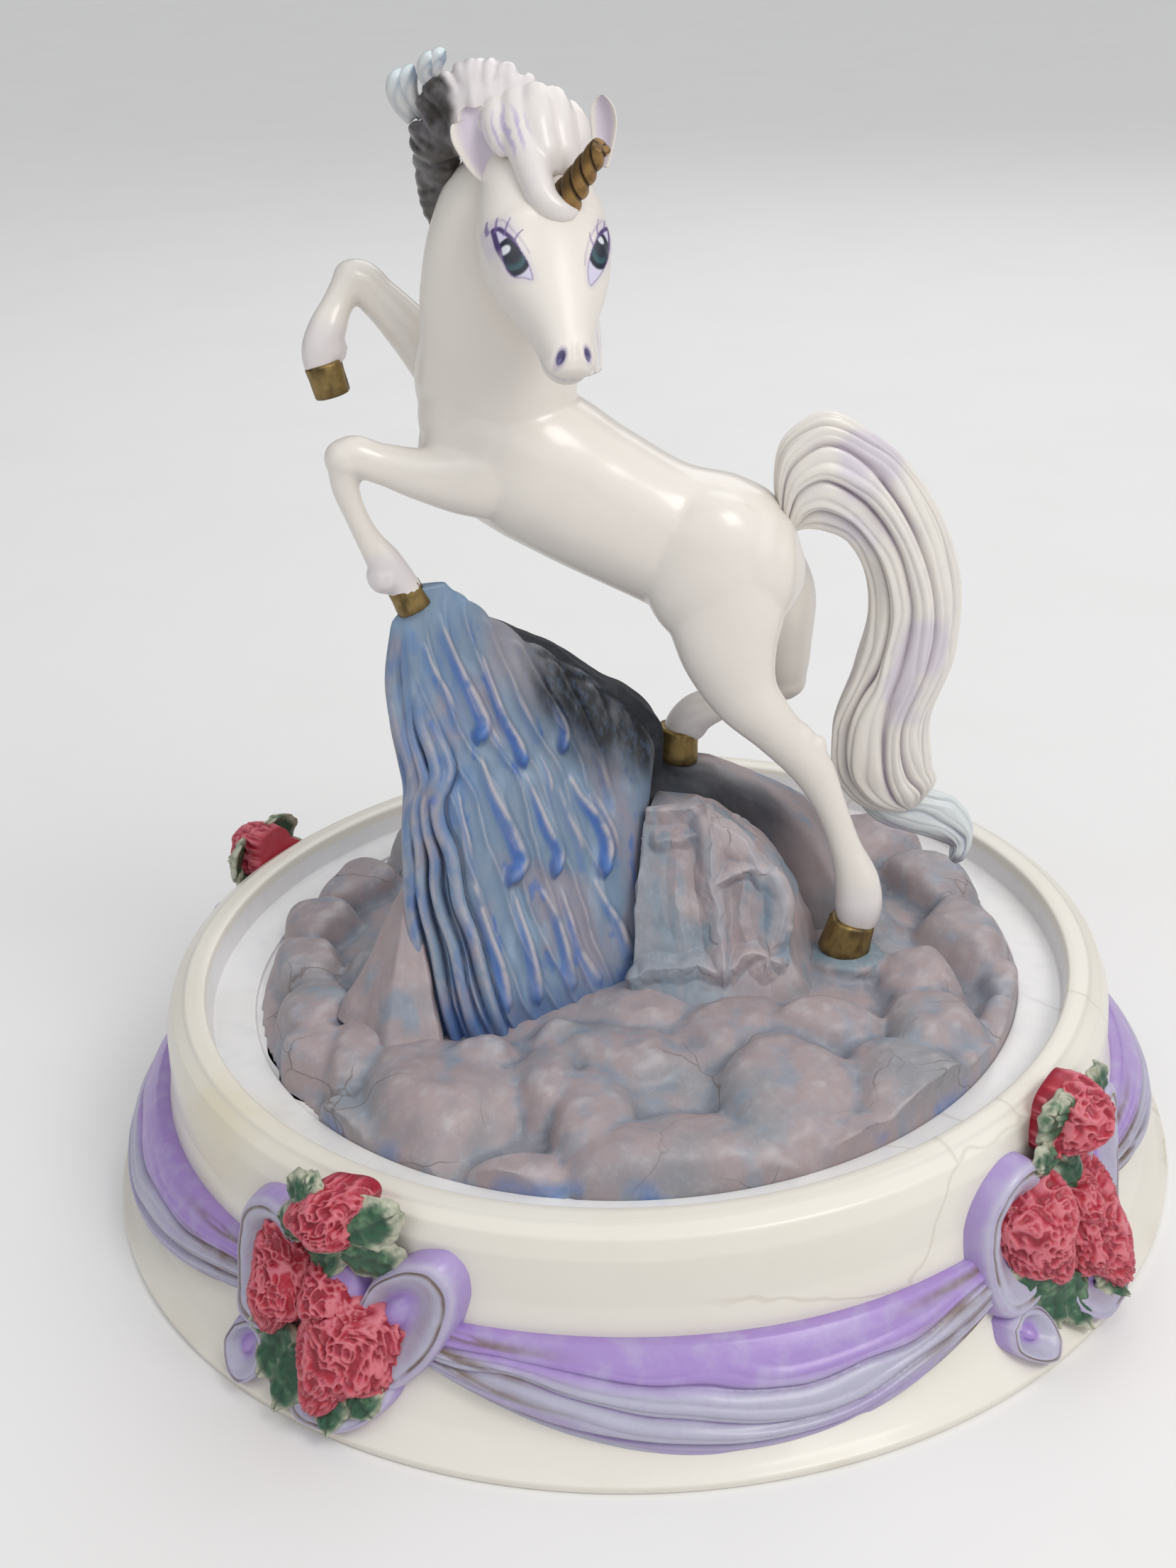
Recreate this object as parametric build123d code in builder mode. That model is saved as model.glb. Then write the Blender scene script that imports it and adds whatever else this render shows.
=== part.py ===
from build123d import *
import os
from math import atan2, cos, degrees, hypot, pi, radians, sin

os.makedirs("parts", exist_ok=True)

# Plinth: the glass dome stands on the flat ring between its rim and the rock
seat_radius = 55.0
seat_depth = 3.9
seat_draft = 0.5
rim_width = 2.4
rim_height = 27.4
shoulder_reach = 2.8
shoulder_drop = 5.5
waist_reach = 0.9
waist_height = 13.5
foot_radius = 68.8
foot_edge = 1.2
felt_thickness = 0.9
felt_margin = 4.0
felt_clearance = 0.15

# Rock
bare_ring = 6.0
rock_seat_depth = 0.5
rock_inset = 0.4
rock_rise = 6.6
boulder_sink = 1.0
boulder_sides = 7
# Rise of each outline of a boulder and how much of its full size that outline keeps
boulder_level_shares = [(0.0, 1.0), (0.45, 0.97), (0.80, 0.78), (1.0, 0.45)]
peak_rise = 13.5
peak_sides = 6
# Places (across, deep), half width, half depth and rise of each boulder, as shares of rock_radius
boulder_shares = [
    (-0.49, -0.56, 0.27, 0.23, 0.13),
    (-0.20, -0.68, 0.13, 0.20, 0.12),
    (-0.02, -0.72, 0.14, 0.19, 0.11),
    (0.12, -0.78, 0.24, 0.17, 0.09),
    (0.37, -0.66, 0.25, 0.22, 0.13),
    (0.63, -0.58, 0.20, 0.20, 0.12),
    (0.74, -0.38, 0.17, 0.18, 0.15),
    (0.77, -0.14, 0.16, 0.15, 0.17),
    (0.80, 0.10, 0.17, 0.20, 0.14),
    (0.74, 0.34, 0.19, 0.19, 0.13),
    (0.56, 0.58, 0.22, 0.20, 0.13),
    (0.28, 0.72, 0.22, 0.19, 0.12),
    (-0.04, 0.76, 0.22, 0.17, 0.13),
    (-0.34, 0.70, 0.20, 0.19, 0.12),
    (-0.61, 0.54, 0.20, 0.20, 0.13),
    (-0.78, 0.28, 0.17, 0.18, 0.12),
    (-0.82, 0.03, 0.15, 0.16, 0.12),
    (-0.81, -0.20, 0.15, 0.16, 0.13),
    (-0.74, -0.42, 0.15, 0.15, 0.11),
]
# Levels of the pointed rock left of the falls: across, deep and half width shares of rock_radius, rise share
peak_shares = [(-0.60, -0.17, 0.20, 0.0), (-0.59, -0.17, 0.15, 0.4), (-0.59, -0.16, 0.08, 0.8), (-0.59, -0.15, 0.02, 1.0)]

# Unicorn: stature is the rise from the near hind hoof to the poll
stature = 100.0
hoof_top_radius = 2.7
hoof_foot_radius = 3.3
hoof_toe_reach = 0.7
head_turn = 11.8
head_tilt = 44.8
head_roll = 11.5
horn_base_radius = 1.9
horn_tip_radius = 1.15
horn_twist = 200.0
horn_sections = 7
horn_lobes = 3
horn_groove_share = 0.22
ear_dish_radius = 1.35
oval_points = 8
knuckle_share = 1.10

# Stations of the lofts, as shares of stature: across, deep and up from the ground, half height, half width
body_shares = [
    (-0.222, 0.000, 0.658, 0.022, 0.022),
    (-0.205, 0.000, 0.655, 0.050, 0.048),
    (-0.160, 0.000, 0.648, 0.076, 0.070),
    (-0.105, 0.000, 0.628, 0.092, 0.084),
    (-0.030, 0.000, 0.580, 0.096, 0.088),
    (0.055, 0.000, 0.530, 0.093, 0.086),
    (0.120, 0.000, 0.502, 0.094, 0.090),
    (0.172, 0.000, 0.482, 0.078, 0.082),
    (0.205, 0.000, 0.474, 0.050, 0.060),
    (0.220, 0.000, 0.472, 0.020, 0.026),
]
neck_shares = [
    (-0.142, 0.000, 0.630, 0.070, 0.058),
    (-0.130, 0.000, 0.715, 0.095, 0.070),
    (-0.128, -0.008, 0.770, 0.089, 0.062),
    (-0.134, -0.018, 0.830, 0.074, 0.055),
    (-0.130, -0.028, 0.885, 0.064, 0.052),
    (-0.108, -0.038, 0.930, 0.058, 0.050),
    (-0.085, -0.050, 0.955, 0.040, 0.040),
]
# Stations of the head along the nose line: run from the poll, half width, reach of the brow and of the jaw
poll_share = (-0.078, -0.049, 0.972)
head_shares = [
    (-0.022, 0.020, 0.016, 0.018),
    (-0.010, 0.042, 0.034, 0.040),
    (0.030, 0.058, 0.050, 0.062),
    (0.095, 0.069, 0.054, 0.076),
    (0.140, 0.066, 0.050, 0.070),
    (0.185, 0.050, 0.039, 0.048),
    (0.225, 0.034, 0.030, 0.033),
    (0.252, 0.031, 0.027, 0.028),
    (0.270, 0.018, 0.016, 0.016),
]
left_ear_shares = [
    (-0.112, -0.084, 0.945, 0.015, 0.014),
    (-0.132, -0.085, 0.992, 0.025, 0.013),
    (-0.136, -0.082, 1.013, 0.021, 0.011),
    (-0.131, -0.080, 1.027, 0.008, 0.005),
]
right_ear_shares = [
    (-0.012, -0.062, 0.957, 0.015, 0.014),
    (0.000, -0.058, 0.993, 0.018, 0.012),
    (0.005, -0.056, 1.014, 0.016, 0.010),
    (0.005, -0.055, 1.032, 0.006, 0.005),
]
near_foreleg_shares = [
    [
        (-0.140, -0.050, 0.618, 0.048, 0.030),
        (-0.178, -0.060, 0.624, 0.040, 0.031),
        (-0.217, -0.070, 0.634, 0.030, 0.027),
        (-0.262, -0.075, 0.650, 0.023, 0.022),
        (-0.298, -0.079, 0.660, 0.023, 0.022),
    ],
    [
        (-0.301, -0.080, 0.656, 0.023, 0.022),
        (-0.303, -0.079, 0.620, 0.016, 0.016),
        (-0.293, -0.075, 0.585, 0.015, 0.015),
        (-0.280, -0.071, 0.554, 0.018, 0.017),
        (-0.267, -0.068, 0.532, 0.023, 0.021),
        (-0.252, -0.066, 0.510, 0.021, 0.020),
        (-0.243, -0.065, 0.488, 0.019, 0.018),
    ],
]
far_foreleg_shares = [
    [
        (-0.150, 0.045, 0.680, 0.046, 0.030),
        (-0.190, 0.055, 0.722, 0.038, 0.030),
        (-0.228, 0.062, 0.766, 0.029, 0.026),
        (-0.262, 0.066, 0.804, 0.024, 0.023),
        (-0.288, 0.064, 0.828, 0.022, 0.022),
    ],
    [
        (-0.291, 0.062, 0.827, 0.023, 0.022),
        (-0.308, 0.048, 0.803, 0.021, 0.020),
        (-0.321, 0.034, 0.778, 0.027, 0.024),
        (-0.331, 0.025, 0.752, 0.023, 0.021),
        (-0.328, 0.021, 0.728, 0.019, 0.018),
    ],
]
near_hindleg_shares = [
    [
        (0.120, -0.040, 0.520, 0.070, 0.050),
        (0.124, -0.052, 0.450, 0.070, 0.045),
        (0.128, -0.060, 0.395, 0.056, 0.038),
        (0.145, -0.062, 0.343, 0.042, 0.032),
        (0.182, -0.061, 0.295, 0.033, 0.026),
        (0.224, -0.060, 0.243, 0.027, 0.023),
        (0.248, -0.064, 0.190, 0.022, 0.020),
        (0.266, -0.070, 0.135, 0.022, 0.020),
        (0.280, -0.075, 0.088, 0.029, 0.026),
        (0.281, -0.079, 0.056, 0.029, 0.027),
        (0.276, -0.080, 0.028, 0.022, 0.020),
    ],
]
far_hindleg_shares = [
    [
        (0.155, 0.038, 0.480, 0.062, 0.046),
        (0.184, 0.052, 0.420, 0.058, 0.044),
        (0.198, 0.062, 0.360, 0.040, 0.034),
        (0.206, 0.068, 0.308, 0.025, 0.024),
    ],
    [
        (0.206, 0.069, 0.303, 0.024, 0.023),
        (0.158, 0.070, 0.285, 0.020, 0.020),
        (0.118, 0.070, 0.275, 0.023, 0.022),
        (0.090, 0.070, 0.262, 0.026, 0.025),
        (0.072, 0.070, 0.244, 0.023, 0.022),
        (0.066, 0.070, 0.228, 0.018, 0.017),
    ],
]
# Feet of the hooves and the lean of each: foot across, deep, up, then top across, deep, up
near_hind_hoof_share = ((0.268, -0.080, 0.000), (0.276, -0.080, 0.043))
far_hind_hoof_share = ((0.062, 0.070, 0.215), (0.066, 0.070, 0.243))
near_fore_hoof_share = ((-0.238, -0.063, 0.468), (-0.246, -0.065, 0.500))
far_fore_hoof_share = ((-0.322, 0.020, 0.706), (-0.330, 0.022, 0.742))
horn_base_share = (-0.043, -0.141, 0.936)
horn_tip_share = (0.001, -0.176, 1.001)

# Hair: outer edge across and up, inner edge across and up, depth and half width, as shares of stature
hair_groove_share = 0.16
tail_ribs = 9
tail_shares = [
    (0.193, 0.537, 0.207, 0.528, 0.000, 0.012),
    (0.188, 0.580, 0.217, 0.527, 0.000, 0.022),
    (0.196, 0.634, 0.225, 0.526, 0.001, 0.030),
    (0.236, 0.663, 0.232, 0.524, 0.002, 0.035),
    (0.308, 0.632, 0.259, 0.512, 0.006, 0.038),
    (0.371, 0.557, 0.288, 0.472, 0.009, 0.040),
    (0.408, 0.460, 0.296, 0.412, 0.010, 0.040),
    (0.407, 0.356, 0.277, 0.340, 0.010, 0.038),
    (0.376, 0.266, 0.252, 0.256, 0.010, 0.035),
    (0.382, 0.208, 0.262, 0.186, 0.010, 0.030),
    (0.378, 0.172, 0.326, 0.142, 0.010, 0.014),
]
curl_ribs = 6
curl_shares = [
    (0.310, 0.192, 0.282, 0.166, 0.022, 0.020),
    (0.343, 0.170, 0.312, 0.124, 0.030, 0.022),
    (0.385, 0.160, 0.358, 0.098, 0.034, 0.022),
    (0.420, 0.143, 0.392, 0.086, 0.034, 0.020),
    (0.440, 0.104, 0.408, 0.078, 0.031, 0.016),
    (0.428, 0.058, 0.408, 0.070, 0.028, 0.012),
]
mane_ribs = 9
mane_shares = [
    (-0.011, 1.016, -0.024, 0.978, -0.062, 0.018),
    (-0.043, 1.034, -0.047, 0.972, -0.070, 0.032),
    (-0.074, 1.062, -0.080, 0.972, -0.066, 0.042),
    (-0.125, 1.082, -0.118, 0.985, -0.050, 0.046),
    (-0.173, 1.070, -0.146, 0.988, -0.028, 0.046),
    (-0.207, 1.020, -0.153, 0.970, -0.010, 0.043),
    (-0.209, 0.962, -0.155, 0.938, 0.004, 0.036),
    (-0.197, 0.900, -0.165, 0.907, 0.008, 0.020),
]
left_tip_shares = [
    (-0.194, 1.017, -0.171, 1.045, -0.005, 0.016),
    (-0.215, 1.028, -0.187, 1.054, -0.005, 0.016),
    (-0.219, 1.055, -0.196, 1.062, -0.006, 0.013),
    (-0.215, 1.069, -0.206, 1.070, -0.008, 0.006),
]
right_tip_shares = [
    (-0.173, 1.050, -0.144, 1.064, -0.025, 0.016),
    (-0.182, 1.062, -0.157, 1.074, -0.027, 0.015),
    (-0.183, 1.076, -0.165, 1.080, -0.029, 0.011),
    (-0.178, 1.085, -0.170, 1.086, -0.030, 0.005),
]
tip_ribs = 5
crest_ribs = 7
crest_shares = [
    (-0.060, 0.958, -0.099, 0.956, 0.000, 0.020),
    (-0.040, 0.903, -0.086, 0.905, 0.004, 0.026),
    (-0.022, 0.835, -0.070, 0.832, 0.006, 0.026),
    (-0.009, 0.785, -0.057, 0.780, 0.006, 0.023),
    (-0.008, 0.725, -0.036, 0.718, 0.004, 0.012),
]
forelock_ribs = 5
forelock_shares = [
    (-0.086, 1.022, -0.040, 1.012, -0.092, 0.018),
    (-0.090, 1.000, -0.048, 0.996, -0.110, 0.018),
    (-0.085, 0.980, -0.058, 0.985, -0.124, 0.016),
    (-0.077, 0.952, -0.061, 0.962, -0.146, 0.013),
    (-0.060, 0.934, -0.052, 0.947, -0.157, 0.011),
    (-0.042, 0.928, -0.042, 0.940, -0.157, 0.010),
    (-0.031, 0.932, -0.037, 0.938, -0.152, 0.008),
]

# Waterfall: its outline at each level, left to right along the front, in shares of stature
falls_front_shares = [
    ((-0.262, -0.205), (-0.180, -0.232), (0.024, -0.127)),
    ((-0.268, -0.128), (-0.220, -0.150), (0.030, -0.040)),
    ((-0.272, -0.070), (-0.250, -0.080), (-0.098, -0.010)),
    ((-0.262, -0.072), (-0.250, -0.078), (-0.196, -0.048)),
]
falls_back_shares = [
    ((0.030, -0.040), (-0.262, -0.100)),
    ((0.036, 0.020), (-0.270, -0.050)),
    ((-0.090, 0.020), (-0.270, -0.020)),
    ((-0.196, -0.025), (-0.262, -0.040)),
]
falls_level_shares = [0.0, 0.500, 0.830, 1.0]
drip_radius = 1.7
drip_length = 19.0
drip_head_share = 0.35
# Lower ends of the drips: across the foot and up the slant, as shares of the foot's width and of stature
drip_end_shares = [
    (0.02, 0.02), (0.20, 0.01), (0.38, 0.02), (0.56, 0.01), (0.74, 0.02), (0.92, 0.01),
    (0.06, 0.20), (0.26, 0.17), (0.44, 0.20), (0.62, 0.18), (0.80, 0.19),
    (0.10, 0.37), (0.28, 0.34), (0.46, 0.35), (0.62, 0.33),
]
drip_slant_share = (0.28, -0.25, -0.93)

# Rock behind and beside the falls, level by level: outline corners in shares of stature
ridge_level_shares = [
    (0.0, ((-0.262, -0.100), (0.030, -0.040), (0.200, 0.000), (0.330, 0.120), (0.160, 0.200), (-0.200, 0.160))),
    (0.120, ((-0.266, -0.085), (0.030, -0.025), (0.140, 0.010), (0.240, 0.110), (0.130, 0.160), (-0.200, 0.090))),
    (0.215, ((-0.268, -0.060), (0.030, 0.000), (0.098, 0.030), (0.100, 0.100), (0.060, 0.120), (-0.200, 0.060))),
]
fin_level_shares = [
    (0.205, ((-0.262, -0.062), (0.018, 0.000), (0.024, 0.030), (-0.220, 0.055))),
    (0.310, ((-0.262, -0.050), (-0.060, -0.005), (-0.050, 0.022), (-0.220, 0.030))),
    (0.420, ((-0.258, -0.045), (-0.160, -0.020), (-0.150, 0.005), (-0.230, 0.005))),
]
cascade_level_shares = [
    (0.0, ((0.024, -0.160), (0.110, -0.185), (0.190, -0.150), (0.215, -0.060), (0.200, 0.020), (0.030, -0.030))),
    (0.090, ((0.026, -0.110), (0.100, -0.130), (0.172, -0.100), (0.185, -0.040), (0.170, 0.020), (0.030, -0.025))),
    (0.185, ((0.030, -0.050), (0.085, -0.062), (0.130, -0.040), (0.140, 0.000), (0.120, 0.030), (0.030, -0.005))),
]

# Swags: one between each two bows
swag_top = 14.6
swag_end_drop = 4.6
swag_middle_drop = 12.6
swag_end_reach = 2.2
swag_middle_reach = 6.6
swag_root_depth = 4.0
swag_stations = 7
swag_tuck_angle = 9.0
swag_fold_bulge = 0.9
swag_flat_share = 0.3
# Corners between the folds, from the top edge down, as shares of the swag's reach and drop
swag_fold_shares = [(0.10, 0.0), (0.72, 0.30), (0.98, 0.58), (0.94, 0.82), (0.55, 1.0)]

# Bow, leaves and roses, laid out on a plane that faces away from the wall
bow_height = 15.5
bow_plane_radius = 59.0
loop_width = 12.0
loop_height = 15.0
loop_reach = 8.6
loop_offset = 9.0
loop_lean = 14.0
loop_ribbon = 2.1
knot_radius = 3.6
knot_reach = 9.0
tail_ribbon_width = 6.4
tail_ribbon_length = 12.5
tail_ribbon_reach = 9.2
tail_ribbon_spread = 28.0
ribbon_notch = 2.2
leaf_length = 9.0
leaf_width = 6.6
leaf_stalk_width = 2.4
leaf_thickness = 1.4
leaf_seat = 1.0
leaf_hub_radius = 5.4
# Leaves: across and up from the bow's middle to the root as shares of loop_height, turn in shares of a full turn
leaf_shares = [
    (-0.10, 0.66, 0.32), (0.34, 0.50, 0.09), (-0.36, -0.10, 0.56),
    (-0.22, -0.34, 0.69), (0.24, -0.36, 0.82), (0.02, 0.34, 0.22),
]
rose_tiers = 3
rose_lobes = 8
rose_groove_share = 0.18
rose_root_share = 0.50
rose_rise = 5.0
# Radius of each tier of petals as a share of the bloom's
rose_tier_shares = [1.0, 0.72, 0.42]
# Blooms: across, up and radius as shares of loop_height
rose_shares = [(0.12, 0.82, 0.27), (-0.46, 0.14, 0.31), (0.22, -0.26, 0.40)]
cluster_turns = {"front_left": -33.0, "front_right": 50.0, "back_right": 140.0, "back_left": 237.0}
swag_names = ["front_swag", "right_swag", "back_swag", "left_swag"]

# Worked out from the sizes above
floor_height = rim_height - seat_depth
pocket_height = floor_height - rock_seat_depth
rim_radius = seat_radius + rim_width
wall_radius = rim_radius + shoulder_reach
waist_radius = wall_radius + waist_reach
rock_radius = seat_radius - bare_ring
ground_height = floor_height + rock_rise
felt_radius = foot_radius - felt_margin


def spot(share):
    """The place that a share of the stature stands for, from the ground under the near hind hoof."""
    return Vector(share[0] * stature, share[1] * stature, ground_height + share[2] * stature)


def path_planes(stations):
    """One plane a station, square to the path, with its first axis as near to Y as it goes."""
    spots = [spot(station) for station in stations]
    planes = []
    for index, here in enumerate(spots):
        before = spots[max(index - 1, 0)]
        after = spots[min(index + 1, len(spots) - 1)]
        along = (after - before).normalized()
        aside = (Vector(0, 1, 0) - along * along.Y).normalized()
        planes.append(Plane(origin=here, x_dir=aside, z_dir=along))
    return planes


def oval(half_width, top, bottom):
    """Points of an oval with its own reach above and below its middle."""
    turns = [2 * pi * k / oval_points for k in range(oval_points)]
    return [(half_width * cos(a), (top if sin(a) > 0 else bottom) * sin(a)) for a in turns]


def limb(stations):
    """A limb lofted through one oval a station."""
    with BuildPart() as skin:
        for plane, station in zip(path_planes(stations), stations):
            height, width = station[3] * stature, station[4] * stature
            with BuildSketch(plane):
                with BuildLine():
                    Spline(*oval(width, height, height), periodic=True)
                make_face()
        loft()
    return skin.part


def leg_skin(runs):
    """A leg of one or more runs, with a ball a little fuller than the limb where two runs meet."""
    with BuildPart() as skin:
        for stations in runs:
            add(limb(stations))
        for stations in runs[1:]:
            with Locations(spot(stations[0])):
                Sphere(knuckle_share * stations[0][3] * stature)
    return skin.part


def turned(points, middle, angle):
    """Points turned by an angle in degrees and moved to a middle."""
    turn = radians(angle)
    return [
        (middle[0] + x * cos(turn) - y * sin(turn), middle[1] + x * sin(turn) + y * cos(turn))
        for x, y in points
    ]


def lobed_ring(half_width, half_height, lobes, groove_share, turn):
    """Start, crest and end of each outward arc of a lobed outline."""
    step = 2 * pi / lobes
    arcs = []
    for k in range(lobes):
        angles = (turn + k * step, turn + (k + 0.5) * step, turn + (k + 1) * step)
        fills = (1 - groove_share, 1, 1 - groove_share)
        arcs.append([(half_width * g * cos(a), half_height * g * sin(a)) for a, g in zip(angles, fills)])
    return arcs


def hair(stations, ribs):
    """A lock of hair lofted through one ribbed outline a station, spread from inner to outer edge."""
    with BuildPart() as lock:
        for outer_x, outer_z, inner_x, inner_z, depth, half_width in stations:
            outer, inner = spot((outer_x, depth, outer_z)), spot((inner_x, depth, inner_z))
            spread = outer - inner
            plane = Plane(origin=(outer + inner) / 2, x_dir=(0, 1, 0), z_dir=Vector(0, 1, 0).cross(spread))
            with BuildSketch(plane):
                with BuildLine():
                    for arc in lobed_ring(half_width * stature, spread.length / 2, ribs, hair_groove_share, 0):
                        ThreePointArc(*arc)
                make_face()
        loft()
    return lock.part


def ledge(levels):
    """A rock block with flat facets between its outlines, one a level."""
    with BuildPart() as block:
        for rise, corners in levels:
            with BuildSketch(Plane(origin=spot((0, 0, rise)))):
                with BuildLine():
                    Polyline(*[(x * stature, y * stature) for x, y in corners], close=True)
                make_face()
        loft(ruled=True)
    return block.part


def hoof(foot_share, top_share):
    """A hoof: a cone leaning from its foot to its top, with the toe pushed forward."""
    foot, top = spot(foot_share), spot(top_share)
    with BuildPart() as shoe:
        with BuildSketch(Plane(origin=foot)):
            with Locations((-hoof_toe_reach, 0)):
                Circle(hoof_foot_radius)
        with BuildSketch(Plane(origin=top)):
            Circle(hoof_top_radius)
        loft()
    return shoe.part


# Plinth, turned from one profile, with a pocket for the rock on top and one for the felt underneath
with BuildPart() as plinth:
    with BuildSketch(Plane.XZ):
        with BuildLine():
            Line((0, felt_thickness), (felt_radius + felt_clearance, felt_thickness))
            Line((felt_radius + felt_clearance, felt_thickness), (felt_radius + felt_clearance, 0))
            Line((felt_radius + felt_clearance, 0), (foot_radius, 0))
            Line((foot_radius, 0), (foot_radius, foot_edge))
            flare = Spline(
                (foot_radius, foot_edge), (waist_radius, waist_height), (wall_radius, rim_height - shoulder_drop),
                tangents=((-1, 1), (0, 1)),
            )
            RadiusArc(flare @ 1, (rim_radius, rim_height), -shoulder_drop)
            Line((rim_radius, rim_height), (seat_radius, rim_height))
            Line((seat_radius, rim_height), (seat_radius - seat_draft, floor_height))
            Line((seat_radius - seat_draft, floor_height), (rock_radius, floor_height))
            Line((rock_radius, floor_height), (rock_radius, pocket_height))
            Line((rock_radius, pocket_height), (0, pocket_height))
            Line((0, pocket_height), (0, felt_thickness))
        make_face()
    revolve(axis=Axis.Z)
plinth.part.label = "plinth"
export_step(plinth.part, "parts/plinth.step")

# Felt pad, flush with the foot
with BuildPart() as felt_pad:
    with BuildSketch(Plane.XY):
        Circle(felt_radius)
    extrude(amount=felt_thickness)
felt_pad.part.label = "felt_pad"
export_step(felt_pad.part, "parts/felt_pad.step")


def boulder(across, deep, width, depth, rise, turn):
    """One flattened boulder with facets, from the floor up."""
    with BuildPart() as stone:
        for height, fill in boulder_level_shares:
            place = Plane(origin=(across, deep, floor_height + rise * height))
            angles = [turn + 2 * pi * k / boulder_sides for k in range(boulder_sides)]
            corners = [(width * fill * cos(a), depth * fill * sin(a)) for a in angles]
            with BuildSketch(place):
                with BuildLine():
                    Polyline(*corners, close=True)
                make_face()
        loft(ruled=True)
    return stone.part


# Hooves, cast with the legs and gilded
hoof_shares = {
    "near_hind_hoof": near_hind_hoof_share,
    "far_hind_hoof": far_hind_hoof_share,
    "near_fore_hoof": near_fore_hoof_share,
    "far_fore_hoof": far_fore_hoof_share,
}
hooves = {}
for name, (foot_share, top_share) in hoof_shares.items():
    with BuildPart() as gilt_hoof:
        add(hoof(foot_share, top_share))
    gilt_hoof.part.label = name
    export_step(gilt_hoof.part, f"parts/{name}.step")
    hooves[name] = gilt_hoof.part

# Rock mound: a foot let into the plinth, a low table on it and a ring of boulders fused round it
with BuildPart() as rock_mound:
    with BuildSketch(Plane(origin=(0, 0, floor_height))):
        Circle(rock_radius - 2 * boulder_sink)
    with BuildSketch(Plane(origin=(0, 0, ground_height))):
        Circle(rock_radius - rock_rise * 2)
    loft()
    with BuildSketch(Plane(origin=(0, 0, pocket_height))):
        Circle(rock_radius)
    extrude(amount=rock_seat_depth)
    for index, (across, deep, width, depth, rise) in enumerate(boulder_shares):
        size = [share * rock_radius for share in (across, deep, width, depth, rise)]
        add(boulder(*size, turn=index))
    with BuildSketch(Plane(origin=(0, 0, floor_height))) as clear_ring:
        Circle(foot_radius)
        Circle(rock_radius - rock_inset, mode=Mode.SUBTRACT)
    extrude(clear_ring.sketch, amount=rim_height, mode=Mode.SUBTRACT)
    add(hooves["near_hind_hoof"], mode=Mode.SUBTRACT)
rock_mound.part.label = "rock_mound"
export_step(rock_mound.part, "parts/rock_mound.step")

# Waterfall: a leaning wedge with rows of drips down its face
falls_levels = []
for level, front, back in zip(falls_level_shares, falls_front_shares, falls_back_shares):
    falls_levels.append((level * near_fore_hoof_share[0][2], front + back))
drip_slant = Vector(*drip_slant_share).normalized()
falls_foot = [spot((x, y, 0)) for x, y in falls_front_shares[0]]
falls_core = ledge(falls_levels)


def drip(end, length):
    """A tapering drip with a round lower end, its axis down the slant of the falls."""
    start = end - drip_slant * length
    with BuildPart() as tear:
        with BuildSketch(Plane(origin=start, x_dir=drip_slant.cross(Vector(0, 1, 0)), z_dir=drip_slant)):
            Circle(drip_radius * drip_head_share)
        with BuildSketch(Plane(origin=end, x_dir=drip_slant.cross(Vector(0, 1, 0)), z_dir=drip_slant)):
            Circle(drip_radius)
        loft()
        with Locations(end):
            Sphere(drip_radius)
    return tear.part


with BuildPart() as waterfall:
    add(falls_core)
    for across_share, up_share in drip_end_shares:
        foot = falls_foot[1] + (falls_foot[2] - falls_foot[1]) * across_share
        add(drip(foot - drip_slant * (up_share * stature), drip_length))
    add(rock_mound.part, mode=Mode.SUBTRACT)
    add(hooves["near_fore_hoof"], mode=Mode.SUBTRACT)
waterfall.part.label = "waterfall"
export_step(waterfall.part, "parts/waterfall.step")

# Ridge behind the falls, with the ledge for the far hind hoof
with BuildPart() as rear_ridge:
    add(ledge(ridge_level_shares))
    add(ledge(fin_level_shares))
    add(rock_mound.part, mode=Mode.SUBTRACT)
    add(waterfall.part, mode=Mode.SUBTRACT)
    add(hooves["far_hind_hoof"], mode=Mode.SUBTRACT)
rear_ridge.part.label = "rear_ridge"
export_step(rear_ridge.part, "parts/rear_ridge.step")

# Faceted rock on the right of the falls
with BuildPart() as cascade_rock:
    add(ledge(cascade_level_shares))
    add(rock_mound.part, mode=Mode.SUBTRACT)
    add(waterfall.part, mode=Mode.SUBTRACT)
    add(rear_ridge.part, mode=Mode.SUBTRACT)
cascade_rock.part.label = "cascade_rock"
export_step(cascade_rock.part, "parts/cascade_rock.step")

# Pointed rock on the left of the falls
with BuildPart() as left_rock:
    for across, deep, half_width, rise in peak_shares:
        with BuildSketch(Plane(origin=(across * rock_radius, deep * rock_radius, ground_height + rise * peak_rise))):
            RegularPolygon(half_width * rock_radius, peak_sides)
    loft(ruled=True)
    add(rock_mound.part, mode=Mode.SUBTRACT)
    add(waterfall.part, mode=Mode.SUBTRACT)
    add(rear_ridge.part, mode=Mode.SUBTRACT)
left_rock.part.label = "left_rock"
export_step(left_rock.part, "parts/left_rock.step")

# Body: chest, barrel and haunches
with BuildPart() as body:
    add(limb(body_shares))
body.part.label = "body"
export_step(body.part, "parts/body.step")

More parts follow.
